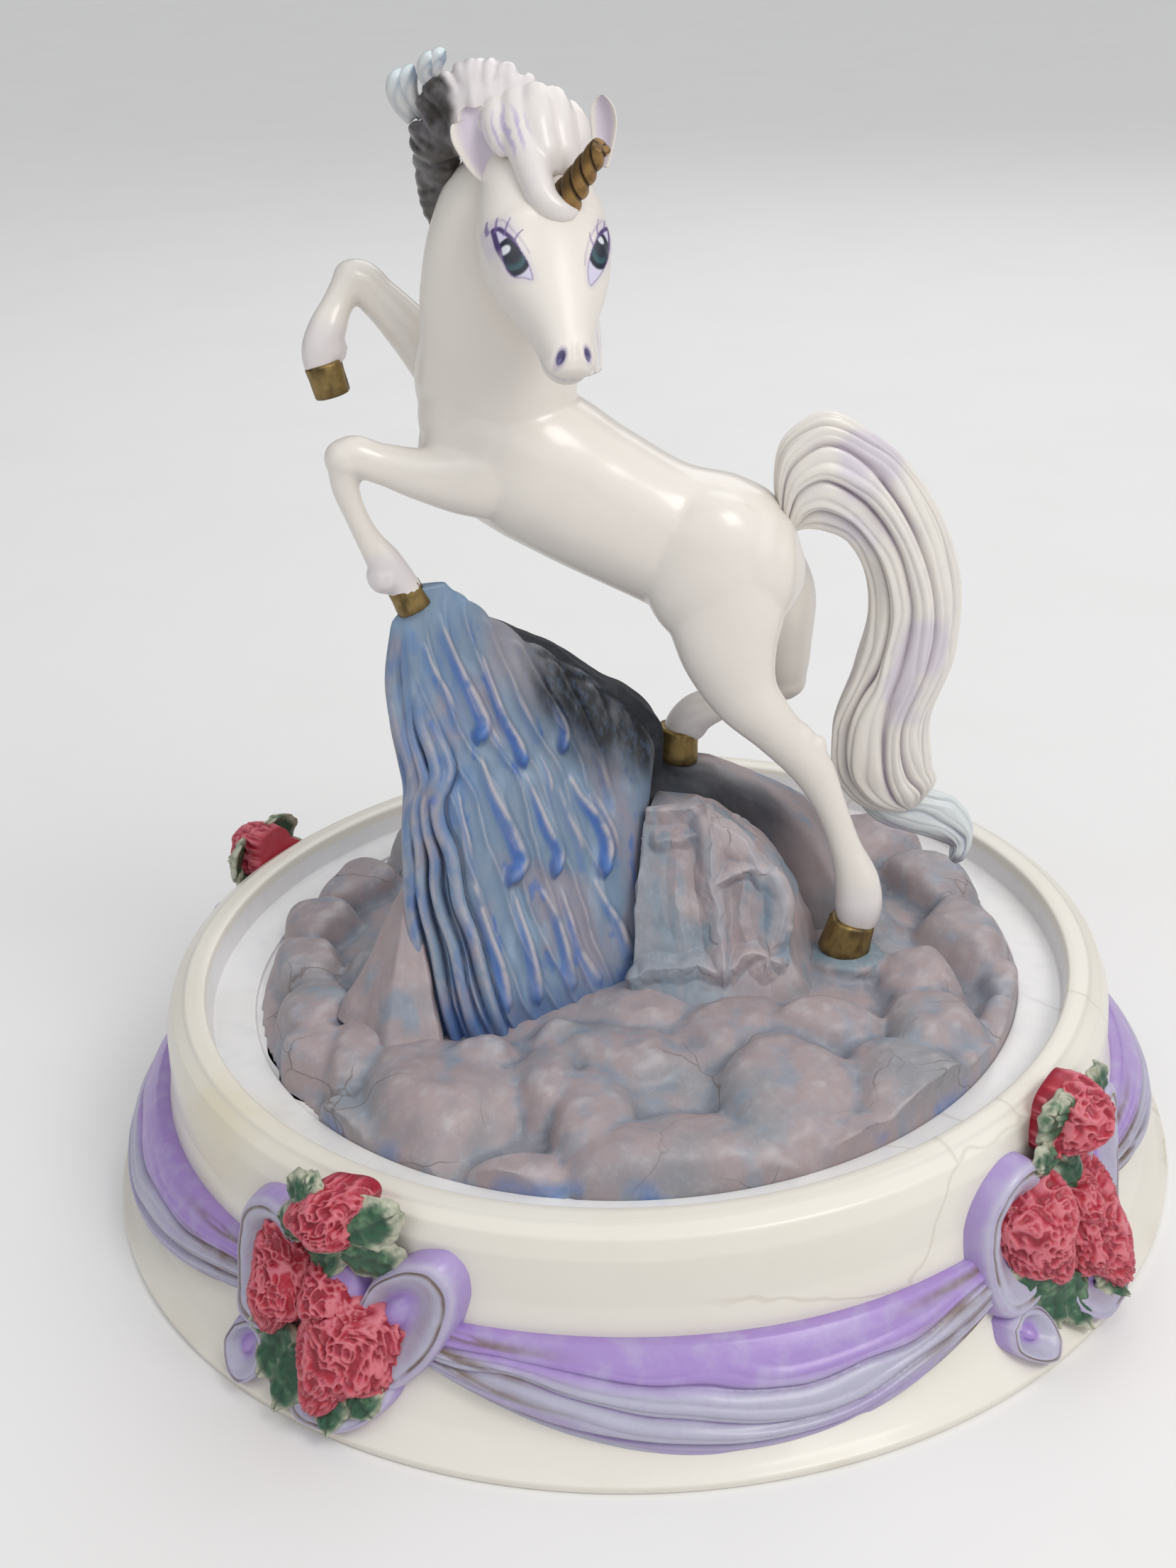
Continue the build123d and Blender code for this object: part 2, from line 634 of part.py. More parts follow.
# Head, lofted in the frame of the nose line, with two dished ears
turn, tilt, roll = radians(head_turn), radians(head_tilt), radians(head_roll)
nose_line = Vector(sin(tilt) * sin(turn), -sin(tilt) * cos(turn), -cos(tilt))
level_line = Vector(cos(turn), sin(turn), 0)
cheek_line = level_line * cos(roll) - nose_line.cross(level_line) * sin(roll)
poll = spot(poll_share)
with BuildPart() as head:
    for run, half_width, brow, jaw in head_shares:
        place = Plane(origin=poll + nose_line * run * stature, x_dir=cheek_line, z_dir=nose_line)
        with BuildSketch(place):
            with BuildLine():
                Spline(*oval(half_width * stature, brow * stature, jaw * stature), periodic=True)
            make_face()
    loft()
    add(limb(left_ear_shares))
    add(limb(right_ear_shares))
    for ear in (left_ear_shares, right_ear_shares):
        with Locations(spot(ear[2]) - Vector(0, ear_dish_radius, 0)):
            Sphere(ear_dish_radius, mode=Mode.SUBTRACT)
head.part.label = "head"
export_step(head.part, "parts/head.step")

# Neck, cut to the body and to the head
with BuildPart() as neck:
    add(limb(neck_shares))
    add(body.part, mode=Mode.SUBTRACT)
    add(head.part, mode=Mode.SUBTRACT)
neck.part.label = "neck"
export_step(neck.part, "parts/neck.step")

# Legs, each cut to the body, to the neck and to its own hoof
leg_shares = {
    "near_foreleg": (near_foreleg_shares, "near_fore_hoof"),
    "far_foreleg": (far_foreleg_shares, "far_fore_hoof"),
    "near_hindleg": (near_hindleg_shares, "near_hind_hoof"),
    "far_hindleg": (far_hindleg_shares, "far_hind_hoof"),
}
legs = {}
for name, (runs, hoof_name) in leg_shares.items():
    with BuildPart() as leg:
        add(leg_skin(runs))
        add(body.part, mode=Mode.SUBTRACT)
        if "fore" in name:
            add(neck.part, mode=Mode.SUBTRACT)
            add(waterfall.part, mode=Mode.SUBTRACT)
        add(hooves[hoof_name], mode=Mode.SUBTRACT)
    leg.part.label = name
    export_step(leg.part, f"parts/{name}.step")
    legs[name] = leg.part

# Horn: three strands twisted into a rope
horn_base, horn_tip = spot(horn_base_share), spot(horn_tip_share)
horn_line = horn_tip - horn_base
with BuildPart() as horn:
    for k in range(horn_sections):
        part_way = k / (horn_sections - 1)
        radius = horn_base_radius + (horn_tip_radius - horn_base_radius) * part_way
        twist = radians(horn_twist) * part_way
        with BuildSketch(Plane(origin=horn_base + horn_line * part_way, z_dir=horn_line)):
            with BuildLine():
                for arc in lobed_ring(radius, radius, horn_lobes, horn_groove_share, twist):
                    ThreePointArc(*arc)
            make_face()
    loft()
    add(head.part, mode=Mode.SUBTRACT)
horn.part.label = "horn"
export_step(horn.part, "parts/horn.step")

# Hair: forelock, mane with its two flying tips, crest down the neck, tail and its curl
with BuildPart() as forelock:
    add(hair(forelock_shares, forelock_ribs))
    add(head.part, mode=Mode.SUBTRACT)
    add(horn.part, mode=Mode.SUBTRACT)
forelock.part.label = "forelock"
export_step(forelock.part, "parts/forelock.step")

with BuildPart() as mane:
    add(hair(mane_shares, mane_ribs))
    add(hair(left_tip_shares, tip_ribs))
    add(hair(right_tip_shares, tip_ribs))
    add(head.part, mode=Mode.SUBTRACT)
    add(neck.part, mode=Mode.SUBTRACT)
    add(forelock.part, mode=Mode.SUBTRACT)
mane.part.label = "mane"
export_step(mane.part, "parts/mane.step")

with BuildPart() as mane_crest:
    add(hair(crest_shares, crest_ribs))
    add(neck.part, mode=Mode.SUBTRACT)
    add(body.part, mode=Mode.SUBTRACT)
    add(head.part, mode=Mode.SUBTRACT)
    add(mane.part, mode=Mode.SUBTRACT)
mane_crest.part.label = "mane_crest"
export_step(mane_crest.part, "parts/mane_crest.step")

with BuildPart() as tail:
    add(hair(tail_shares, tail_ribs))
    add(body.part, mode=Mode.SUBTRACT)
    add(legs["near_hindleg"], mode=Mode.SUBTRACT)
tail.part.label = "tail"
export_step(tail.part, "parts/tail.step")

with BuildPart() as tail_curl:
    add(hair(curl_shares, curl_ribs))
    add(tail.part, mode=Mode.SUBTRACT)
tail_curl.part.label = "tail_curl"
export_step(tail_curl.part, "parts/tail_curl.step")

# Bow on the wall: two loops, a knot and two notched ends, drawn at the front and copied round
bow_plane = Plane(origin=(0, -bow_plane_radius, bow_height), x_dir=(1, 0, 0), z_dir=(0, -1, 0))
with BuildPart() as bow_pattern:
    for side in (-1, 1):
        with BuildSketch(bow_plane):
            with Locations(Location((side * loop_offset, 0, 0), (0, 0, side * loop_lean))):
                Ellipse(loop_width / 2, loop_height / 2)
                Ellipse(loop_width / 2 - loop_ribbon, loop_height / 2 - loop_ribbon, mode=Mode.SUBTRACT)
        extrude(amount=loop_reach)
        half, knot_half = tail_ribbon_width / 2, knot_radius / 2
        ribbon = [
            (-knot_half, 0), (knot_half, 0), (half, -tail_ribbon_length),
            (0, ribbon_notch - tail_ribbon_length), (-half, -tail_ribbon_length),
        ]
        with BuildSketch(bow_plane):
            with BuildLine():
                Polyline(*turned(ribbon, (0, 0), side * tail_ribbon_spread), close=True)
            make_face()
        extrude(amount=tail_ribbon_reach)
    with BuildSketch(bow_plane):
        Circle(knot_radius)
    extrude(amount=knot_reach)
    add(plinth.part, mode=Mode.SUBTRACT)

# Leaves: pointed ovals on stalks from a hub behind the blooms, lying over the loops
leaf_plane = bow_plane.offset(loop_reach - leaf_seat)
with BuildPart() as leaf_pattern:
    with BuildSketch(bow_plane):
        Circle(leaf_hub_radius)
    extrude(amount=loop_reach + leaf_thickness)
    for across, up, turn_share in leaf_shares:
        half = leaf_width / 2
        blade = [(0, 0), (leaf_length / 2, half), (leaf_length, 0), (leaf_length / 2, -half)]
        root, left, tip, right = turned(blade, (across * loop_height, up * loop_height), 360 * turn_share)
        with BuildSketch(leaf_plane):
            with BuildLine():
                ThreePointArc(root, left, tip)
                ThreePointArc(tip, right, root)
            make_face()
            lean = degrees(atan2(root[1], root[0]))
            with Locations(Location((root[0] / 2, root[1] / 2, 0), (0, 0, lean))):
                Rectangle(hypot(*root) + leaf_stalk_width, leaf_stalk_width)
        extrude(amount=leaf_seat + leaf_thickness)
    add(plinth.part, mode=Mode.SUBTRACT)
    add(bow_pattern.part, mode=Mode.SUBTRACT)


def petals(place, middle, radius, turn):
    """The outline of one ring of petals."""
    with BuildSketch(place) as ring:
        with BuildLine():
            for arc in lobed_ring(radius, radius, rose_lobes, rose_groove_share, turn):
                ThreePointArc(*turned(arc, middle, 0))
        make_face()
    return ring.sketch


def bloom(middle, radius):
    """A rose: a flared cup of petals, then tiers that grow smaller, without the crumbs its seat cuts off."""
    rings = [(bow_plane, rose_root_share), (rose_plane, rose_tier_shares[0])]
    with BuildPart() as rose:
        loft([petals(place, middle, radius * share, 0).face() for place, share in rings])
        for tier, share in enumerate(rose_tier_shares):
            place = rose_plane.offset(rose_rise * tier / rose_tiers)
            extrude(petals(place, middle, radius * share, tier * pi / rose_lobes), amount=rose_rise / rose_tiers)
        for neighbour in (plinth, bow_pattern, leaf_pattern):
            add(neighbour.part, mode=Mode.SUBTRACT)
    return rose.part.solids().sort_by(SortBy.VOLUME)[-1]


# Roses: three blooms a bow, seated on the hub and the wall
rose_plane = bow_plane.offset(loop_reach)
with BuildPart() as rose_pattern:
    for across, up, share in rose_shares:
        add(bloom((across * loop_height, up * loop_height), share * loop_height))

ornaments = []
for place_name, angle in cluster_turns.items():
    for pattern, kind in ((bow_pattern, "bow"), (leaf_pattern, "leaves"), (rose_pattern, "roses")):
        with BuildPart() as ornament:
            add(Rot(0, 0, angle) * pattern.part)
        ornament.part.label = f"{place_name}_{kind}"
        export_step(ornament.part, f"parts/{place_name}_{kind}.step")
        ornaments.append(ornament.part)

# Swags: cloth draped from bow to bow, three folds deep
turns = list(cluster_turns.values())
for index, name in enumerate(swag_names):
    start = turns[index] + swag_tuck_angle
    stop = (turns[(index + 1) % len(turns)] - turns[index]) % 360 + turns[index] - swag_tuck_angle
    with BuildPart() as swag:
        for k in range(swag_stations):
            part_way = k / (swag_stations - 1)
            hang = sin(pi * part_way)
            angle = radians(start + (stop - start) * part_way)
            outward = Vector(sin(angle), -cos(angle), 0)
            drop = swag_end_drop + (swag_middle_drop - swag_end_drop) * hang
            reach = swag_end_reach + (swag_middle_reach - swag_end_reach) * hang
            fullness = swag_flat_share + (1 - swag_flat_share) * hang
            with BuildSketch(Plane(origin=outward * waist_radius, x_dir=outward, z_dir=(-cos(angle), -sin(angle), 0))):
                with BuildLine():
                    folds = [(x * reach, swag_top - y * drop) for x, y in swag_fold_shares]
                    Line((-swag_root_depth, swag_top), folds[0])
                    for upper, lower in zip(folds, folds[1:]):
                        SagittaArc(upper, lower, -swag_fold_bulge * fullness)
                    Line(folds[-1], (-swag_root_depth, swag_top - drop))
                    Line((-swag_root_depth, swag_top - drop), (-swag_root_depth, swag_top))
                make_face()
        loft()
        add(plinth.part, mode=Mode.SUBTRACT)
        for other in ornaments:
            add(other, mode=Mode.SUBTRACT)
    swag.part.label = name
    export_step(swag.part, f"parts/{name}.step")
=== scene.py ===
"""Looks of a painted unicorn figurine on a round plinth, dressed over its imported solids.

Sizes are in millimetres in the solids' own frame and become metres when a mesh is made.
"""

import logging
from dataclasses import dataclass, replace
from enum import Enum
from typing import Sequence

import bpy
import numpy as np
from mathutils import Matrix, Vector


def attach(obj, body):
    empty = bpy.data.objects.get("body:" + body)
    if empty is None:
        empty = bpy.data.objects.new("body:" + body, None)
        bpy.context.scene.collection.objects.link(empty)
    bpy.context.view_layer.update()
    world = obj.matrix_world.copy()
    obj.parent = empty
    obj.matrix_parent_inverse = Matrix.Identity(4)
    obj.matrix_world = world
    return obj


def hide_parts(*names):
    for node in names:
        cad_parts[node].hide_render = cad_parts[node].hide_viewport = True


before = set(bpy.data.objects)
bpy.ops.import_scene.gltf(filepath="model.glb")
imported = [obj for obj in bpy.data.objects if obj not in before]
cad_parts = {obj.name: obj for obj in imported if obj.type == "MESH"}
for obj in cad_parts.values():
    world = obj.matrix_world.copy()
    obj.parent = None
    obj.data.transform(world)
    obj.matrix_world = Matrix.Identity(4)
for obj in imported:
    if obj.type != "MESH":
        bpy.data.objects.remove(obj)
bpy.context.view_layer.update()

LOG = logging.getLogger("unicorn")
METRES = 0.001
GROUND = 30.1
STATURE = 100
Array = np.ndarray
Color = tuple[float, float, float]
Node, Socket = bpy.types.Node, bpy.types.NodeSocket

# Stones: flat facets round each, how sharp their edges are, height of the top, how upright they stand
FACETS, SHARPNESS, FLAT_TOP, STEEPNESS = 9, 9, 0.9, 0.4


def unit(vectors: Array) -> Array:
    """Vectors divided by their own length."""
    return vectors / np.maximum(np.linalg.norm(vectors, axis=-1, keepdims=True), 1e-9)


def ramp(values: Array, low: float, high: float) -> Array:
    """A smooth step: 0 below low, 1 above high, three t squared less two t cubed between."""
    t = np.clip((np.asarray(values, float) - low) / (high - low), 0, 1)
    return t * t * (3 - 2 * t)


def blend(first: Array | Color, second: Array | Color, share: Array) -> Array:
    """Colors mixed point by point: first times one less share, plus second times share."""
    share = np.clip(share, 0, 1)[..., None]
    return np.asarray(first, float) * (1 - share) + np.asarray(second, float) * share


def circle(count: int) -> Array:
    """Angles evenly round a circle."""
    return np.linspace(0, 2 * np.pi, count, endpoint=False)


def bell(values: Array, middle: float, width: float) -> Array:
    """A bell curve: e to minus the squared distance from the middle over the width."""
    return np.exp(-(((values - middle) / width) ** 2))


def fade(values: Array, low: float, high: float) -> Array:
    """The smooth step turned over: 1 below low and 0 above high."""
    return 1 - ramp(values, low, high)


def washed(color: Array | Color, *washes: tuple[Array | Color, Array]) -> Array:
    """A color with washes laid over it in turn, each a tint and its share at every point."""
    for tint, share in washes:
        color = blend(color, tint, share)
    return color


def leaning(points: Array, x: float, y: float, lean: float) -> tuple[Array, Array]:
    """Offsets from a place of the plane, along two axes that lean by an angle."""
    dx, dy = points[..., 0] - x, points[..., 1] - y
    return dx * np.cos(lean) + dy * np.sin(lean), -dx * np.sin(lean) + dy * np.cos(lean)


def noise(points: Array, size: float, seed: int = 0) -> Array:
    """Smooth lattice noise from -1 to 1: hashed corner values of cubes of that size, eased between.

    Args:
        points: places, in millimetres, with three numbers on the last axis.
        size: edge of one lattice cube.
        seed: another pattern for each whole number.

    Returns:
        One value a point.
    """
    place = np.asarray(points, float) / size + 100.0 + 17.3 * seed
    cell = np.floor(place).astype(np.int64)
    part = place - cell
    part = part * part * (3 - 2 * part)
    total = np.zeros(place.shape[:-1])
    for corner in np.ndindex(2, 2, 2):
        x, y, z = (cell[..., k] + corner[k] for k in range(3))
        code = (x * 374761393 + y * 668265263 + z * 2147483647 + seed * 974634777) & 0xFFFFFFFF
        code = ((code ^ (code >> 13)) * 1274126177) & 0xFFFFFFFF
        value = ((code ^ (code >> 16)) & 0xFFFF) / 32767.5 - 1
        weight = np.ones_like(total)
        for k in range(3):
            weight = weight * (part[..., k] if corner[k] else 1 - part[..., k])
        total += weight * value
    return total


def layered(points: Array, size: float, seed: int = 0, layers: int = 3) -> Array:
    """Noise with finer layers: each next one has half the size and half the weight."""
    return sum(noise(points, size / 2**k, seed + k) / 2**k for k in range(layers))


def smooth_rows(rows: Sequence[Sequence[float]] | Array, count: int) -> Array:
    """Rows of a table resampled along a smooth curve: cubic pieces that pass through every row.

    Args:
        rows: stations; the first three numbers of each are its place.
        count: how many rows to return, evenly along the path.

    Returns:
        The table with count rows.
    """
    table = np.asarray(rows, float)
    gaps = np.linalg.norm(np.diff(table[:, :3], axis=0), axis=1)
    knots = np.concatenate([[0.0], np.cumsum(np.maximum(gaps, 1e-6))])
    slopes = np.gradient(table, knots, axis=0)
    at = np.linspace(0, knots[-1], count)
    k = np.clip(np.searchsorted(knots, at, side="right") - 1, 0, len(table) - 2)
    step = (knots[k + 1] - knots[k])[:, None]
    s = (at - knots[k])[:, None] / step
    return (
        (2 * s**3 - 3 * s**2 + 1) * table[k]
        + (s**3 - 2 * s**2 + s) * step * slopes[k]
        + (3 * s**2 - 2 * s**3) * table[k + 1]
        + (s**3 - s**2) * step * slopes[k + 1]
    )


def smooth_line(points: Sequence[Sequence[float]] | Array, count: int) -> Array:
    """A smooth line through points of the plane or of space."""
    table = np.asarray(points, float)
    flat = table.shape[1] == 2
    if flat:
        table = np.column_stack([table, np.zeros(len(table))])
    line = smooth_rows(table, count)
    return line[:, :2] if flat else line


def distance_to(line: Array, points: Array) -> Array:
    """Distance from each point to a line of straight pieces: the least over the pieces."""
    start, step = line[:-1], np.diff(line, axis=0)
    rel = points[:, None, :] - start[None]
    along = np.clip((rel * step).sum(-1) / np.maximum((step**2).sum(-1), 1e-12), 0, 1)
    return np.linalg.norm(rel - along[..., None] * step[None], axis=-1).min(1)


def inside(outline: Array, points: Array) -> Array:
    """True where a point of the plane lies inside a closed outline, by counting crossings."""
    nxt = np.roll(outline, -1, axis=0)
    x, y = points[:, :1], points[:, 1:2]
    crosses = (outline[:, 1] > y) != (nxt[:, 1] > y)
    rise = np.where(nxt[:, 1] == outline[:, 1], 1e-9, nxt[:, 1] - outline[:, 1])
    reach = (nxt[:, 0] - outline[:, 0]) * (y - outline[:, 1]) / rise + outline[:, 0]
    return (crosses & (x < reach)).sum(1) % 2 == 1


def running_mean(values: Array, width: int, ring: bool, axis: int = 0) -> Array:
    """The mean over an odd width of neighbours along an axis, which closes on itself or holds its ends."""
    half = width // 2
    turned = np.moveaxis(np.asarray(values, float), axis, 0)
    if ring:
        padded = np.concatenate([turned[-half:], turned, turned[:half]])
    else:
        padded = np.concatenate([np.repeat(turned[:1], half, 0), turned, np.repeat(turned[-1:], half, 0)])
    total = np.cumsum(np.concatenate([np.zeros_like(padded[:1]), padded]), axis=0)
    return np.moveaxis((total[width:] - total[:-width]) / width, 0, axis)


def beside(line: Array, points: Array) -> tuple[Array, Array]:
    """Signed distances from points of the plane to a line, and how far down the line the nearest place lies.

    Args:
        line: points of an open line.
        points: places in the same plane.

    Returns:
        The distances, positive on the left hand of the line's way, and the shares of its length, 0 to 1.
    """
    start, step = line[:-1], np.diff(line, axis=0)
    lengths = np.linalg.norm(step, axis=1)
    rel = points[:, None] - start[None]
    at = np.clip((rel * step).sum(-1) / lengths**2, 0, 1)
    gap = rel - at[..., None] * step
    far = np.linalg.norm(gap, axis=-1)
    row, k = np.arange(len(points)), far.argmin(1)
    side = np.sign(step[k, 0] * gap[row, k, 1] - step[k, 1] * gap[row, k, 0])
    run = np.concatenate([[0], np.cumsum(lengths)])
    return side * far[row, k], (run[k] + at[row, k] * lengths[k]) / run[-1]


def inside_box(points: Array, line: Array, margin: float) -> Array:
    """The indices of the points within the box round a line, widened by a margin."""
    low, high = line.min(0) - margin, line.max(0) + margin
    return np.flatnonzero(((points > low) & (points < high)).all(1))


def ringed(
    levels: Sequence[tuple], counts: Sequence[int], rings: int, turn: int, climb: int
) -> tuple[Array, Array]:
    """A leaning block from its outlines: one ring for each height, and the reach of each point.

    Between neighbouring corners a ring is straight; a running mean over the ring rounds the corners,
    and another over the heights softens the changes of slope. The reach is the distance along the ring
    from its first corner, negative on the last side.

    Args:
        levels: a height and the corners of the outline there, the same number each time.
        counts: points from each corner to the next.
        rings: how many rings, evenly in height.
        turn: odd width of the mean over a ring.
        climb: odd width of the mean over the heights.

    Returns:
        The grid of rings, and the reach of each point.
    """
    knots = [rise for rise, _ in levels]
    rises = np.linspace(knots[0], knots[-1], rings)
    corners = np.array([c for _, c in levels], float)
    sides = corners.shape[1]
    track = np.stack([np.interp(rises, knots, corners[:, k, c]) for k in range(sides) for c in range(2)], -1)
    track = running_mean(track, climb, False).reshape(-1, sides, 2)
    parts = []
    for k, count in enumerate(counts):
        t = np.linspace(0, 1, count, endpoint=False)[None, :, None]
        parts.append(track[:, k : k + 1] * (1 - t) + track[:, (k + 1) % sides][:, None] * t)
    flat = running_mean(running_mean(np.concatenate(parts, axis=1), turn, True, axis=1), turn, True, axis=1)
    grid = np.concatenate([flat, np.broadcast_to(rises[:, None, None], (*flat.shape[:2], 1))], -1)
    step = np.linalg.norm(np.roll(grid, -1, axis=1) - grid, axis=-1)
    reach = np.cumsum(step, axis=1) - step
    reach[:, sum(counts[:-1]) :] -= step.sum(1)[:, None]
    return grid, reach


def outward_of(grid: Array) -> Array:
    """Unit normals of a grid of rings, from its differences along and across."""
    along = np.roll(grid, -1, axis=1) - np.roll(grid, 1, axis=1)
    return unit(np.cross(along, np.gradient(grid, axis=0)))


@dataclass
class Shell:
    """A closed surface: corners in millimetres, four-sided and three-sided faces, and its paint."""

    corners: Array
    quads: Array
    tris: Array
    paint: Array | None = None

    def triangles(self) -> Array:
        """All faces as triangles, each quad cut in two."""
        return np.concatenate([self.tris, self.quads[:, [0, 1, 2]], self.quads[:, [0, 2, 3]]])

    def outward(self) -> "Shell":
        """Turns every face round if the enclosed volume comes out negative."""
        a, b, c = (self.corners[self.triangles()[:, k]] for k in range(3))
        if (a * np.cross(b, c)).sum() < 0:
            self.quads, self.tris = self.quads[:, ::-1], self.tris[:, ::-1]
        return self

    def wash(self, *washes: tuple[Array | Color, Array]) -> None:
        """Lays washes over the paint."""
        self.paint = washed(self.paint, *washes)

    def turned(self, degrees: float) -> "Shell":
        """A copy turned about the upright axis."""
        a = np.radians(degrees)
        spin = np.array([[np.cos(a), -np.sin(a), 0], [np.sin(a), np.cos(a), 0], [0, 0, 1]])
        return Shell(self.corners @ spin.T, self.quads, self.tris, self.paint)


def shell_of(grid: Array, paint: Array | Color | None = None) -> Shell:
    """A closed shell from a grid of rings: neighbours joined by quads, each end by a pole.

    Args:
        grid: rings by points by three; each ring closes on itself.
        paint: a color for each point, or one color, or nothing.

    Returns:
        The shell, with its faces pointing out.
    """
    rings, around = grid.shape[:2]
    i, j = np.arange(rings - 1)[:, None], np.arange(around)[None]
    a, b = i * around + j, i * around + (j + 1) % around
    quads = np.stack([a, b, b + around, a + around], -1).reshape(-1, 4)
    first, last = rings * around, rings * around + 1
    k = np.arange(around)
    low = np.stack([np.full(around, first), (k + 1) % around, k], -1)
    top = (rings - 1) * around
    high = np.stack([np.full(around, last), top + k, top + (k + 1) % around], -1)
    corners = np.concatenate([grid.reshape(-1, 3), [grid[0].mean(0), grid[-1].mean(0)]])
    if paint is not None:
        colors = np.broadcast_to(np.asarray(paint, float), grid.shape)
        paint = np.concatenate([colors.reshape(-1, 3), [colors[0].mean(0), colors[-1].mean(0)]])
    return Shell(corners, quads, np.concatenate([low, high]), paint).outward()


def joined(shells: Sequence[Shell]) -> Shell:
    """Several shells as one."""
    starts = np.cumsum([0] + [len(s.corners) for s in shells[:-1]])
    paints = [s.paint for s in shells]
    return Shell(
        np.concatenate([s.corners for s in shells]),
        np.concatenate([s.quads + k for s, k in zip(shells, starts)]),
        np.concatenate([s.tris + k for s, k in zip(shells, starts)]),
        None if any(p is None for p in paints) else np.concatenate(paints),
    )


def linked(name: str, data: bpy.types.ID) -> bpy.types.Object:
    """A new object for some data, linked into the scene."""
    made = bpy.data.objects.new(name, data)
    bpy.context.scene.collection.objects.link(made)
    return made


def mesh_object(name: str, shell: Shell) -> bpy.types.Object:
    """Puts a shell into a new mesh object at the origin, in metres, with its paint as an attribute."""
    mesh = bpy.data.meshes.new(name)
    mesh.vertices.add(len(shell.corners))
    mesh.vertices.foreach_set("co", (shell.corners * METRES).astype(np.float32).ravel())
    loops = np.concatenate([shell.quads.ravel(), shell.tris.ravel()])
    mesh.loops.add(len(loops))
    mesh.loops.foreach_set("vertex_index", loops.astype(np.int32))
    quads, tris = np.arange(len(shell.quads)), np.arange(len(shell.tris))
    starts = np.concatenate([quads * 4, shell.quads.size + tris * 3])
    mesh.polygons.add(len(starts))
    mesh.polygons.foreach_set("loop_start", starts.astype(np.int32))
    mesh.update(calc_edges=True)
    mesh.validate()
    mesh.polygons.foreach_set("use_smooth", np.full(len(mesh.polygons), True))
    if shell.paint is not None:
        layer = mesh.attributes.new("paint", "FLOAT_COLOR", "POINT")
        rgba = np.column_stack([np.clip(shell.paint, 0, 1), np.ones(len(shell.paint))])
        layer.data.foreach_set("color", rgba.astype(np.float32).ravel())
    return linked(name, mesh)


def fused(shells: Sequence[Shell], voxel: float, steps: int) -> Shell:
    """Overlapping shells made one skin: remeshed on a lattice of cubes, then evened out.

    Args:
        shells: closed shells that overlap where they join.
        voxel: edge of a cube, in millimetres.
        steps: how many times each point moves half way to its neighbours' middle.

    Returns:
        The skin as one shell, without paint.
    """
    rough = mesh_object("rough", joined([Shell(s.corners, s.quads, s.tris) for s in shells]))
    remesh = rough.modifiers.new("Remesh", "REMESH")
    remesh.mode, remesh.voxel_size = "VOXEL", voxel * METRES
    even = rough.modifiers.new("Smooth", "SMOOTH")
    even.factor, even.iterations = 0.5, steps
    seen = rough.evaluated_get(bpy.context.evaluated_depsgraph_get())
    mesh = bpy.data.meshes.new_from_object(seen)
    corners = np.empty(len(mesh.vertices) * 3, np.float32)
    mesh.vertices.foreach_get("co", corners)
    sizes = np.empty(len(mesh.polygons), np.int32)
    mesh.polygons.foreach_get("loop_total", sizes)
    loops = np.empty(len(mesh.loops), np.int32)
    mesh.loops.foreach_get("vertex_index", loops)
    first = np.concatenate([[0], np.cumsum(sizes)[:-1]])
    quads = loops[first[sizes == 4][:, None] + np.arange(4)]
    tris = loops[first[sizes == 3][:, None] + np.arange(3)]
    bpy.data.objects.remove(rough)
    bpy.data.meshes.remove(mesh)
    return Shell(corners.reshape(-1, 3).astype(float) / METRES, quads, tris).outward()


def oval_tube(rows: Sequence[Sequence[float]], count: int, around: int, power: float = 2.0) -> Array:
    """Ovals carried along a path, each square to it.

    A ring is half width times the cosine, sideways, plus half height times the sine, upwards,
    both raised to two over power so that a higher power gives a squarer oval.

    Args:
        rows: place (three numbers), half height and half width of each station.
        count: rings.
        around: points in a ring.
        power: 2 for an ellipse, more for squarer.

    Returns:
        A grid of rings.
    """
    table = smooth_rows(rows, count)
    path = table[:, :3]
    along = unit(np.gradient(path, axis=0))
    aside = unit(np.array([0.0, 1.0, 0.0]) - along * along[:, 1:2])
    rise = np.cross(along, aside)
    u = circle(around)
    c, s = (np.sign(f) * np.abs(f) ** (2 / power) for f in (np.cos(u), np.sin(u)))
    wide, high = np.maximum(table[:, 4], 0.02), np.maximum(table[:, 3], 0.02)
    return (
        path[:, None]
        + aside[:, None] * (wide[:, None] * c)[..., None]
        + rise[:, None] * (high[:, None] * s)[..., None]
    )


def rounded(points: Sequence[Sequence[float]], radius: float, steps: int = 5) -> Array:
    """An open outline with its corners rounded: each corner becomes a short curved run.

    Args:
        points: corners of the outline.
        radius: how far from the corner each curved run starts and ends, at most.
        steps: points in each run.

    Returns:
        The new outline.
    """
    line = np.asarray(points, float)
    parts = [line[:1]]
    t = np.linspace(0, 1, steps)[:, None]
    for before, here, after in zip(line, line[1:], line[2:]):
        arm = min(radius, 0.45 * np.linalg.norm(here - before), 0.45 * np.linalg.norm(after - here))
        start, end = here + unit(before - here) * arm, here + unit(after - here) * arm
        parts.append((1 - t) ** 2 * start + 2 * t * (1 - t) * here + t**2 * end)
    parts.append(line[-1:])
    return np.concatenate(parts)


def dense(line: Array, step: float) -> Array:
    """Points spaced evenly along straight pieces, no further apart than step."""
    gaps = np.linalg.norm(np.diff(line, axis=0), axis=1)
    knots = np.concatenate([[0.0], np.cumsum(gaps)])
    at = np.linspace(0, knots[-1], int(knots[-1] / step) + 2)
    at = np.unique(np.round(np.concatenate([at, knots]), 5))
    return np.column_stack([np.interp(at, knots, line[:, k]) for k in range(line.shape[1])])


